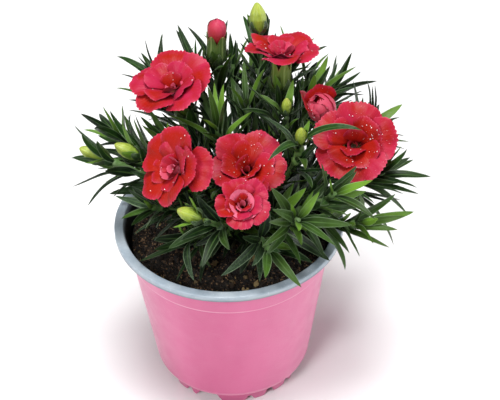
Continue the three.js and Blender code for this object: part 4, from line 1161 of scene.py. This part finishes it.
def makeFibres(rng):
    # thin tubes on parabolas that lie on the soil, closed to a point at both ends
    count = soil["fibres"]
    middleX, middleY = scattered(rng, count, 5)
    heading, length = rng.random(count) * 2 * np.pi, 2.5 + 5 * rng.random(count)
    c, s = np.cos(heading)[:, None], np.sin(heading)[:, None]
    t = np.linspace(-0.5, 0.5, 7)[None, :]
    curl = (rng.random((count, 1)) - 0.5) * 1.6
    x = middleX[:, None] + length[:, None] * (t * c - curl * t * t * s)
    y = middleY[:, None] + length[:, None] * (t * s + curl * t * t * c)
    middles = np.stack([x, y, soilHeight(x, y) + 0.35], -1)
    thick = 0.14 + 0.14 * rng.random((count, 1)) * np.ones_like(t)
    thick[:, 0] = thick[:, -1] = 0
    ring = turnsOf(5)[:, None]
    across = np.stack([-s, c, 0 * s], -1)[:, :, None]
    bag = newBag()
    tubes = middles[:, :, None] + thick[..., None, None] * (across * np.cos(ring) + up * np.sin(ring))
    addRings(bag, tubes, 0.5, 0.5, 0.5 + 0.5 * rng.random(count))
    finishPiece("soil_fibres", bag, finishes["soil"], "soil", 60)


makeSoilBody()
soilDraws = np.random.default_rng(soil["seed"])
makeClods(soilDraws)
makeFibres(soilDraws)
print("soil made")


# leaves and stems

plantMiddle, plantReach = np.array([12.0, 0.0, pot["height"]]), np.array([80.0, 70.0, 82.0])


def leafRings(leaf):
    # five points over the face and three round the keel, row by row; both ends shrink to a point
    s = (np.linspace(0, 1, leafSizes["rows"]) ** 0.95)[:, None]
    v = np.array([[-1, -0.52, 0, 0.52, 1, 0.55, 0, -0.55]])
    deep = np.array([[0, 0.02, 0, 0.02, 0, -0.45, -1, -0.45]]) * leafSizes["keel"]
    deep = deep * (1 - 0.3 * s) * (1 - s**8) * np.minimum(1, s * 12)
    d = draws(leaf["seed"] + seeds["leafWave"], 3)
    wave = 0.5 * np.sin(2 * np.pi * (1.2 * s + d[0])) * s * (1 - 0.3 * s)
    ripple = 0.22 * np.sin(2 * np.pi * (2.7 * s + d[1]) + v * 2) * np.abs(v) * np.minimum(1, s * 3) * (1 - s)
    blade = np.where(s < 1e-6, 0.0, 1.0)
    return leafSurface(leaf, s, v * blade, deep + wave + ripple * blade, 0.02), s, v


def leafToneAndShade(leaf):
    # painted shade: dark in the thick of the plant and paler where a leaf stands out of it, times a random
    # tone
    d = draws(leaf["seed"] + seeds["leafToneAndShade"], 2)
    away = (leafSurface(leaf, np.array([[0.7]]), np.array([[0.0]]))[0, 0] - plantMiddle) / plantReach
    outer = smooth(np.clip((np.linalg.norm(away) - 0.45) / 0.45, 0, 1))
    return float((0.10 + 0.90 * outer) * (0.06 + 0.94 * d[0] ** 1.3))


shoots = {
    # by the stem's number: how far its leaves are young yellow green, and how far waxy and silvery
    "fresh": {22: 0.4, 17: 0.34, 16: 0.2, 35: 0.5, 29: 0.3, 19: 0.16, 31: 0.36, 12: 0.1, 21: 0.1},
    "silver": {12: 0.7, 23: 0.6, 28: 0.5, 18: 0.5, 11: 0.3, 14: 0.5, 30: 0.4, 5: 0.5, 6: 0.5, 13: 0.4,
               8: 0.3},
}


def leafYouth(leaf, number):
    # above 0 a leaf is young, and below 0 it is silvery
    d = draws(leaf["seed"] + seeds["leafYouth"], 3)
    fresh = shoots["fresh"].get(number, 0.0) * (0.3 + 0.9 * d[1]) * (1 - 0.6 * leaf["depth"])
    young = (1 - leaf["young"]) * 0.9 + 0.16 * d[0] * (1 - leaf["depth"]) + fresh
    silver = (0.15 + shoots["silver"].get(number, 0.0)) * max(0.0, d[2] * 1.6 - 0.8)
    return float(np.clip(young - silver, -1, 1))


def makeLeaves(stem):
    bag = newBag()
    for leaf in stem["leaves"]:
        addRings(bag, *leafRings(leaf), leafToneAndShade(leaf), leafYouth(leaf, stem["number"]))
    finishPiece(f"leaves_{stem['number']:02d}", bag, finishes["leaf"], stem["node"], 50)


def tubeAlong(stem, places):
    # a round tube on the stem's curve that swells at each pair of leaves, closed to a point at both ends
    t = np.concatenate([[0, 0, 0], np.linspace(0, 1, stemSizes["rows"]), [1]])
    centre = bezier(stem["ends"], t)
    centre[0] = centre[1] = stem["root"] - up * stemSizes["rootDepth"]
    ahead = bezier(stem["ends"], np.minimum(1, t + 0.001))
    behind = bezier(stem["ends"], np.maximum(0, t - 0.001))
    side, front, _ = framesAlong(ahead - behind)
    swelling = sum(np.exp(-(((t - place) * 90 / 1.5) ** 2)) for place in places)
    radius = stemSizes["radius"] + (stemSizes["tipRadius"] - stemSizes["radius"]) * t + 0.5 * swelling
    low, high, extra = stemSizes["sheaths"].get(stem["number"], (0, 0, 0))
    starts, ends = (np.clip(reach / stemSizes["sheathEase"], 0, 1) for reach in (t - low, high - t))
    radius = radius + extra * smooth(starts) * smooth(ends)
    radius[0] = radius[-1] = 0
    angle = turnsOf(stemSizes["columns"])[:, None]
    ring = side[:, None] * np.cos(angle) + front[:, None] * np.sin(angle)
    return centre[:, None] + ring * radius[:, None, None], t[:, None]


def makeStem(stem):
    places = sorted({round(leaf["place"], 2) for leaf in stem["leaves"]})
    points, along = tubeAlong(stem, places)
    youth = 0.35 + 0.6 * (stem["number"] in stemSizes["sheaths"])
    bag = newBag()
    addRings(bag, points, along, np.linspace(0, 1, stemSizes["columns"]), 0.5, youth)
    finishPiece(f"stem_{stem['number']:02d}", bag, finishes["stem"], stem["node"], 60)


# calyces and buds

def roundHead(stem, out, theta, height):
    # points out from the head's own axis, at each angle and height over the throat
    axes = framesAlong(stem["axis"], stem["spin"])
    return inFrame(axes, stem["throat"], out * np.cos(theta), out * np.sin(theta), height)


def toothed(theta, count=5):
    # rises to 1 at the middle of each tooth and falls to 0 between two of them
    return np.abs(np.sin(theta * count / 2)) ** 0.9


def makeCalyx(stem):
    # up the outside to five teeth, then down the inside to the cup's floor
    length, wall, cup = calyxSizes["length"], calyxSizes["wall"], calyxSizes["cup"]
    theta = turnsOf(60)[None, :]
    rim = calyxSizes["tooth"] * (2 * toothed(theta + np.pi / 10) - 0.35)
    height = -length - 1 + np.linspace(0, 1, 18)[:, None] * (length + 1 + rim)
    out = np.interp(height, calyxSizes["heights"], calyxSizes["radii"])
    out = out * (1 + 0.012 * np.cos(20 * theta))
    innerHeight = -cup + np.linspace(1, 0, 7)[:, None] * (rim + cup)
    inner = np.interp(innerHeight, [-4, -2, 0, 5], [2.6, 3.8, 4.9 - wall, 5.6 - wall])
    height = np.concatenate([height[:1], height, innerHeight, innerHeight[-1:]])
    out = np.concatenate([0 * out[:1], out, inner, 0 * inner[-1:]])
    along = np.concatenate([[0], np.linspace(0, 1, 18), np.linspace(1, 0.7, 7), [0.7]])[:, None]
    outerYouth = 0.0 if stem["head"] == "redBud" else 0.16
    youth = np.repeat([outerYouth, -1.0], [20, 7])[:, None]  # below 0 is the red lining
    bag = newBag()
    addRings(bag, roundHead(stem, out, theta, height), along, theta / (2 * np.pi), 0.5, youth)
    addBracts(bag, stem, -length - 0.6, 0.35, 1.28)
    finishPiece(f"calyx_{stem['number']:02d}", bag, finishes["bud"], stem["node"], 45)


def addBracts(bag, stem, foot, youth, size):
    # two pairs of scales that clasp the base of a calyx or bud, and a tone that their finish knows them by
    for i in range(4):
        d = draws(stem["index"] * 77 + i + seeds["bracts"], 3)
        scale = {
            "root": stem["throat"] + stem["axis"] * (foot + (i // 2) * 0.5),
            "axes": framesAlong(stem["axis"], stem["turn"] + 90 * i + 45 + 10 * d[0]),
            "length": (9.6 + 2.4 * d[1] - (i // 2)) * size, "width": 4.8 * size, "roll": 0.0, "seed": i + 20,
            "start": math.radians(69 - 6 * d[2]), "end": math.radians(-14 + 8 * d[1]),
        }
        points, s, v = leafRings(scale)
        addRings(bag, points, s * 0.6, v, 0.6, youth)


def makeGreenBud(stem):
    # a spindle whose upper end is folded into five seams with a slight twist
    size = stem["diameter"]
    length, radius = greenBudSizes["length"] * size, greenBudSizes["radius"] * size
    w, theta = np.linspace(0, 1, 30)[:, None], turnsOf(45)[None, :]
    height = -1 + w * (length + 1)
    out = np.interp(height / size, [-1, 0.6, 2.4, 4.5, 7.8, 10.5, 12.6, 14.1, 14.8, 15],
                    np.array([0.36, 0.52, 0.78, 0.94, 1.0, 0.84, 0.57, 0.33, 0.17, 0]) * radius)
    folds = 0.16 * smooth(np.clip((w - 0.55) / 0.4, 0, 1))
    out = out * (1 + folds * (toothed(theta + w * 0.9) - 0.6) + 0.01 * np.cos(20 * theta))
    out[0] = 0
    bag = newBag()
    addRings(bag, roundHead(stem, out, theta, height), w, theta / (2 * np.pi), 0.5, 0.8)
    addBracts(bag, stem, -0.8, 0.05, size)
    finishPiece(f"bud_{stem['number']:02d}", bag, finishes["bud"], stem["node"], 45)


# petals

petalSizes = {
    "rows": 19, "columns": 61, "thickness": 0.26, "teeth": 15, "toothDepth": 0.05, "widen": 1.18,
    "frill": 0.42, "vein": 0.05,
}
pinkness = {1: 0.34, 2: 0.55, 6: 0.35, 7: 0.1}  # crimson in the petals by the stem's number, 0.2 elsewhere


def widened(petal):
    return dict(petal, spread=petal["spread"] * petalSizes["widen"])


def petalRings(petal):
    # two faces joined at a thin margin that is cut into small uneven teeth; the claw shrinks to a point
    d = draws(petal["seed"] + seeds["petalEdge"], 6)
    u = (np.linspace(0, 1, petalSizes["rows"]) ** 0.85)[:, None]
    v = np.linspace(-1, 1, petalSizes["columns"])[None, :]
    comb = np.abs(np.sin(petalSizes["teeth"] * np.pi / 2 * v + d[0] * 6)) ** 0.7 - 0.6
    comb = comb * (0.7 + 0.4 * np.sin(5.3 * v + d[1] * 6)) + 0.3 * np.sin(9 * v + d[2] * 6)
    cleft = -0.04 * np.exp(-(((v - 0.5 * (d[3] - 0.5)) / 0.09) ** 2)) * (d[4] > 0.6)
    reach = 1 + (petalSizes["toothDepth"] * comb + cleft) * u**9
    ray = petal["length"] * u * (1 - 0.24 * np.abs(v) ** 3) * reach
    margin = smooth(np.clip((u - 0.35) / 0.65, 0, 1))
    frill = np.sin(5 * v + d[5] * 6) * margin + 0.45 * margin**2 * np.sin(12 * v + d[0] * 9)
    wave = petalSizes["frill"] * frill + petalSizes["vein"] * np.cos(v * 5 * np.pi) * u
    thin = petalSizes["thickness"] / 2 * (1 - np.abs(v) ** 14) * (1 - u**16) * np.minimum(1, u * 14)
    face, back = (petalSurface(widened(petal), u, v, side * thin, ray, wave) for side in (1, -1))
    return joined(face, back), u, joined(v, v), joined(0 * v, 0 * v + 1)


def addPetal(bag, petal):
    points, along, across, under = petalRings(petal)
    tone = 0.5 * draws(petal["seed"] + seeds["petalTone"], 1)[0] + pinkness.get(petal["owner"], 0.2)
    addRings(bag, points, along, across, tone, under)


def addWrapped(bag, stem, spec, seedBase):
    # petals rolled about the axis: w runs round, h up, and each one's far edge lies over the next
    w, h = np.linspace(0, 1, spec["columns"])[None, :], np.linspace(0, 1, 16)[:, None]
    for k in range(spec["count"]):
        d = draws(seedBase + k * 13, 5)
        layer = k / max(1, spec["count"] - 1)
        girth = spec["inner"] + (1 - spec["inner"]) * layer
        span = np.radians(spec["span"])
        theta = spec["start"] + k * spec["turn"] + span * (w - 0.5) * (1.15 - 0.25 * layer)
        tall = spec["height"] * (0.9 + 0.16 * d[0]) * (1 - spec["nest"] * (1 - layer))
        comb = 0.03 * np.abs(np.sin(9 * np.pi * w + d[1] * 5)) + 0.02 * np.sin(31 * w + d[2] * 5)
        top = (np.sin(np.pi * np.clip(w, 0.02, 0.98)) ** 0.45) * 0.28 + 0.72 + comb
        rising = spec["foot"] + (tall * top - spec["foot"]) * h
        bulge = np.interp(rising / spec["height"], spec["heights"], spec["radii"])
        lap = (0.30 + 0.75 * w + 0.12 * np.sin(9 * w + d[3] * 6) * h) * np.minimum(1, bulge / 3) ** 2
        curl = spec["curl"] * layer * smooth(np.clip((h - 0.55) / 0.45, 0, 1)) * (0.7 + 0.5 * d[4])
        radius = bulge * girth + lap * (0.35 + 0.65 * h) + curl
        rising = rising - 0.45 * curl
        thick = 0.14 * (1 - (2 * np.abs(w - 0.5)) ** 10) * (1 - h**14) * np.minimum(1, h * 8)
        outside, inside = (roundHead(stem, np.maximum(0.05, radius + side * thick), theta, rising)
                           for side in (1, -1))
        outer = joined(0 * w + 1, 0 * w)[:, ::-1]
        pale = (outer + (1 - outer) * spec["within"]) * spec["pale"] * (0.4 + 0.6 * h)
        addRings(bag, joined(outside, inside)[:, ::-1], 0.45 + 0.55 * h, joined(w, w)[:, ::-1] * 2 - 1,
                 d[0] + spec["pinker"], pale)
    return outside


rolledPetals = {"curl": 0.0, "within": 0.3, "pinker": 0.0, "columns": 25}
openHeart = {
    **rolledPetals, "foot": 2.0, "heights": [0, 0.3, 0.7, 1.1], "radii": [2.6, 3.6, 4.3, 5.4], "start": 0.4,
    "turn": 2.2, "span": 150, "nest": 0.25,
}
closedBud = {
    **rolledPetals, "foot": -3.4, "count": 5, "height": redBudSizes["length"], "inner": 0.82, "start": 0.0,
    "turn": 2.51, "span": 190, "pale": 0.55, "nest": 0.02, "columns": 37,
    "heights": [-0.25, 0, 0.2, 0.42, 0.62, 0.8, 0.95, 1.05],
    "radii": [1.9, 2.7, 3.9, 4.5, 4.3, 3.4, 1.5, 0.1],
}
hearts = {
    # the rolled petals in the middle of each bloom, by the stem's number, over what openHeart says
    1: {"count": 4, "height": 9.5, "inner": 0.25, "curl": 2.6, "pale": 2.4, "within": 0.7, "pinker": 0.4},
    2: {"count": 6, "height": 12.0, "inner": 0.3, "curl": 3.0, "pale": 1.0, "pinker": 0.7,
        "radii": [3.0, 4.6, 6.4, 8.6]},
    3: {"count": 4, "height": 8.0, "inner": 0.2, "curl": 2.0, "pale": 0.8, "within": 0.2},
    4: {"count": 5, "height": 11.0, "inner": 0.2, "curl": 0.6, "pale": 2.7, "within": 0.5},
    5: {"count": 4, "height": 8.5, "inner": 0.2, "curl": 2.2, "pale": 1.2},
    6: {"count": 6, "height": 9.6, "inner": 0.14, "curl": 2.0, "pale": 3.3, "within": 0.9,
        "radii": [2.6, 3.8, 5.0, 6.4], "turn": 1.9, "span": 190},
    7: {"count": 5, "height": 16.5, "inner": 0.72, "pale": 1.1, "span": 200, "nest": 0.03,
        "heights": [0, 0.2, 0.42, 0.62, 0.82, 0.97, 1.04], "radii": [2.8, 5.4, 7.0, 7.1, 5.6, 2.4, 0.1]},
}


def addHeart(bag, stem):
    spec = {**openHeart, **hearts[stem["number"]]}
    return addWrapped(bag, stem, spec, seeds["hearts"] + stem["number"] * 101)


petalChanges = {
    # a petal by the stem's number and its place: lengths times, or a copy of it folded back over the calyx
    "length": {(7, 0): 0.66, (7, 3): 0.62},
    "foldedBack": {4: {"like": 4, "length": 1.08, "lift": 60, "fall": 140}},
}


def drawnPetals(stem):
    # the petals as the solids have them, with the changes above
    drawn = petalsOf(stem)
    for i, petal in enumerate(drawn):
        petal["length"] *= petalChanges["length"].get((stem["number"], i), 1)
    back = petalChanges["foldedBack"].get(stem["number"])
    if back:
        like = drawn[back["like"]]
        drawn.append(dict(like, length=like["length"] * back["length"], lift=math.radians(back["lift"]),
                          fall=math.radians(back["fall"]), seed=like["seed"] + 100))
    return drawn


def nodeOfPetals(stem):
    return f"{petalNames[stem['head']]}_{stem['number']:02d}"


def makePetals(stem):
    bag = newBag()
    if stem["head"] == "redBud":
        addWrapped(bag, stem, closedBud, seeds["closedBud"])
    for petal in drawnPetals(stem):
        addPetal(bag, petal)
    if stem["number"] in hearts:
        addHeart(bag, stem)
    material = finishes["throat" if stem["number"] == 3 else "petal"]
    finishPiece(f"petals_{stem['number']:02d}", bag, material, nodeOfPetals(stem), 55)


beads = {
    # water drops on the petals, by the stem's number: how many, and the way from the throat that most lie
    "counts": {1: 26, 2: 50, 3: 190, 4: 24, 5: 110, 6: 14, 7: 40}, "onBall": 46,
    "towards": {3: (1.0, 0.0, 0.0), 5: (-0.3, 0.3, 1.0), 2: (0.0, -0.6, 0.6)},
    "radii": (0.08, 0.32), "sink": 0.35, "flatness": (1, 1, 0.75),
}


def beadRadius(rng):
    low, high = beads["radii"]
    return low + (high - low) * rng.random() ** 2.6


def addBead(bag, centre, away, drop, tone):
    # a flattened ball whose short axis points away from the petal
    side, front, along = framesAlong(away)
    drop = drop * np.array(beads["flatness"])
    points = centre + drop[..., :1] * side + drop[..., 1:2] * front + drop[..., 2:] * along
    addRings(bag, points, 0.5, 0.5, tone)


def addBallBeads(bag, stem, rng, ball):
    # on the opening bud's ball of closed petals
    outer = addHeart(newBag(), stem)
    for _ in range(beads["onBall"]):
        row, column = int(rng.integers(5, 15)), int(rng.integers(3, outer.shape[1] - 3))
        centre, radius = outer[row, column], beadRadius(rng)
        away = unit(centre - stem["throat"] - stem["axis"] * hearts[stem["number"]]["height"] * 0.4)
        addBead(bag, centre + away * radius * beads["sink"], away, ball * radius, rng.random())


def makeBeads(stem):
    # they sit on the upper faces of the petals, most of them out towards the margin
    rng = np.random.default_rng(seeds["beads"] + stem["index"])
    petals, towards = drawnPetals(stem), beads["towards"].get(stem["number"])
    ball, bag = smallBall(8), newBag()
    if stem["head"] == "openingBud":
        addBallBeads(bag, stem, rng, ball)
    for _ in range(beads["counts"][stem["number"]]):
        petal = widened(petals[int(rng.integers(len(petals)))])
        u, v = 0.45 + 0.5 * rng.random() ** 0.7, 1.6 * rng.random() - 0.8
        radius = beadRadius(rng)
        at, further, aside, above = (
            petalSurface(petal, np.array([[a]]), np.array([[b]]), rise)[0, 0]
            for a, b, rise in ((u, v, 0.0), (u + 0.01, v, 0.0), (u, v + 0.01, 0.0), (u, v, 1.0)))
        if towards and unit(at - stem["throat"]) @ unit(np.array(towards)) < rng.random() * 1.3 - 0.75:
            continue
        away = unit(np.cross(further - at, aside - at))
        away = away if away @ (above - at) > 0 else -away
        centre = at + away * (petalSizes["thickness"] / 2 + radius * beads["sink"] + 0.12)
        addBead(bag, centre, away, ball * radius * (0.85 + 0.3 * rng.random((1, 1, 3))), rng.random())
    finishPiece(f"beads_{stem['number']:02d}", bag, finishes["water"], nodeOfPetals(stem), 80)


for stem in stems:
    makeLeaves(stem)
    makeStem(stem)
    if stem["head"] == "greenBud":
        makeGreenBud(stem)
    elif stem["head"] != "leafyTip":
        makeCalyx(stem)
        makePetals(stem)
    if stem["number"] in beads["counts"]:
        makeBeads(stem)
print("plant made")


# floor, light and camera

studio = {
    "world": 0.115, "sky": (0.97, 0.985, 1.0),
    "floorLow": (0.90, 0.90, 0.90), "floorHigh": (0.94, 0.94, 0.94), "floorReach": 3, "floorLevel": -0.0002,
    "lampTarget": (0, 0, 0.1),
    # name, place in metres, side of the square, power in watts
    "lamps": [("top", (0.0, -0.1, 1.5), 0.6, 23.0), ("key", (-0.45, -0.85, 0.85), 0.35, 8.0),
              ("left", (-0.95, 0.1, 0.3), 0.7, 0.7), ("right", (0.95, 0.1, 0.3), 0.7, 6.2)],
}


def makeStudio():
    finish = newFinish("pale floor", Roughness=0.9)
    settle(blend(patchy(4, 2, 0.0, 1.0), studio["floorLow"], studio["floorHigh"]))
    reach, level = studio["floorReach"], studio["floorLevel"]
    corners = [(x * reach, y * reach, level) for x, y in ((-1, -1), (1, -1), (1, 1), (-1, 1))]
    mesh = bpy.data.meshes.new("floor")
    mesh.from_pydata(corners, [], [(0, 1, 2, 3)])
    mesh.materials.append(finish)
    linked("floor", mesh)
    world = bpy.data.worlds.new("studio")
    world.use_nodes = True
    background = world.node_tree.nodes["Background"]
    background.inputs[0].default_value = (*studio["sky"], 1.0)
    background.inputs[1].default_value = studio["world"]
    scene.world = world
    for name, place, size, power in studio["lamps"]:
        lamp = bpy.data.lights.new(name, "AREA")
        lamp.size, lamp.energy = size, power
        holder = linked(name, lamp)
        holder.location = place
        aim = Vector(studio["lampTarget"]) - Vector(place)
        holder.rotation_euler = aim.to_track_quat("-Z", "Y").to_euler()


view = {
    "elevation": 40, "roll": 2, "distance": 0.8, "target": (0, 0, 0.098), "sensor": 36.0,
    # in pixels: the picture, the focal length and where the target comes to stand, from the top left
    "picture": (500, 400), "focal": 1528.0, "targetAt": (228.8, 219.5),
}


def makeCamera():
    # looks down at the middle of the rim, rolled a little, then turned until the rim stands off the middle
    elevation, roll, focal = math.radians(view["elevation"]), math.radians(view["roll"]), view["focal"]
    target, (wide, tall) = Vector(view["target"]), view["picture"]
    place = target + view["distance"] * Vector((0, -math.cos(elevation), math.sin(elevation)))
    forward = (target - place).normalized()
    right = forward.cross(Vector((0, 0, 1))).normalized()
    above = right.cross(forward)
    c, s = math.cos(roll), math.sin(roll)
    axes = Matrix((right * c - above * s, right * s + above * c, -forward)).transposed()
    offset = Vector((view["targetAt"][0] - wide / 2, tall / 2 - view["targetAt"][1], -focal)).normalized()
    turn = Vector((0, 0, -1)).rotation_difference(offset).to_matrix()
    camera = bpy.data.cameras.new("camera")
    camera.sensor_width, camera.lens = view["sensor"], view["sensor"] * focal / wide
    camera.clip_start, camera.clip_end = 0.05, 20
    scene.camera = linked("camera", camera)
    scene.camera.matrix_world = Matrix.Translation(place) @ (axes @ turn.inverted()).to_4x4()


makeStudio()
makeCamera()
scene.view_settings.view_transform = "Standard"
print("studio made")
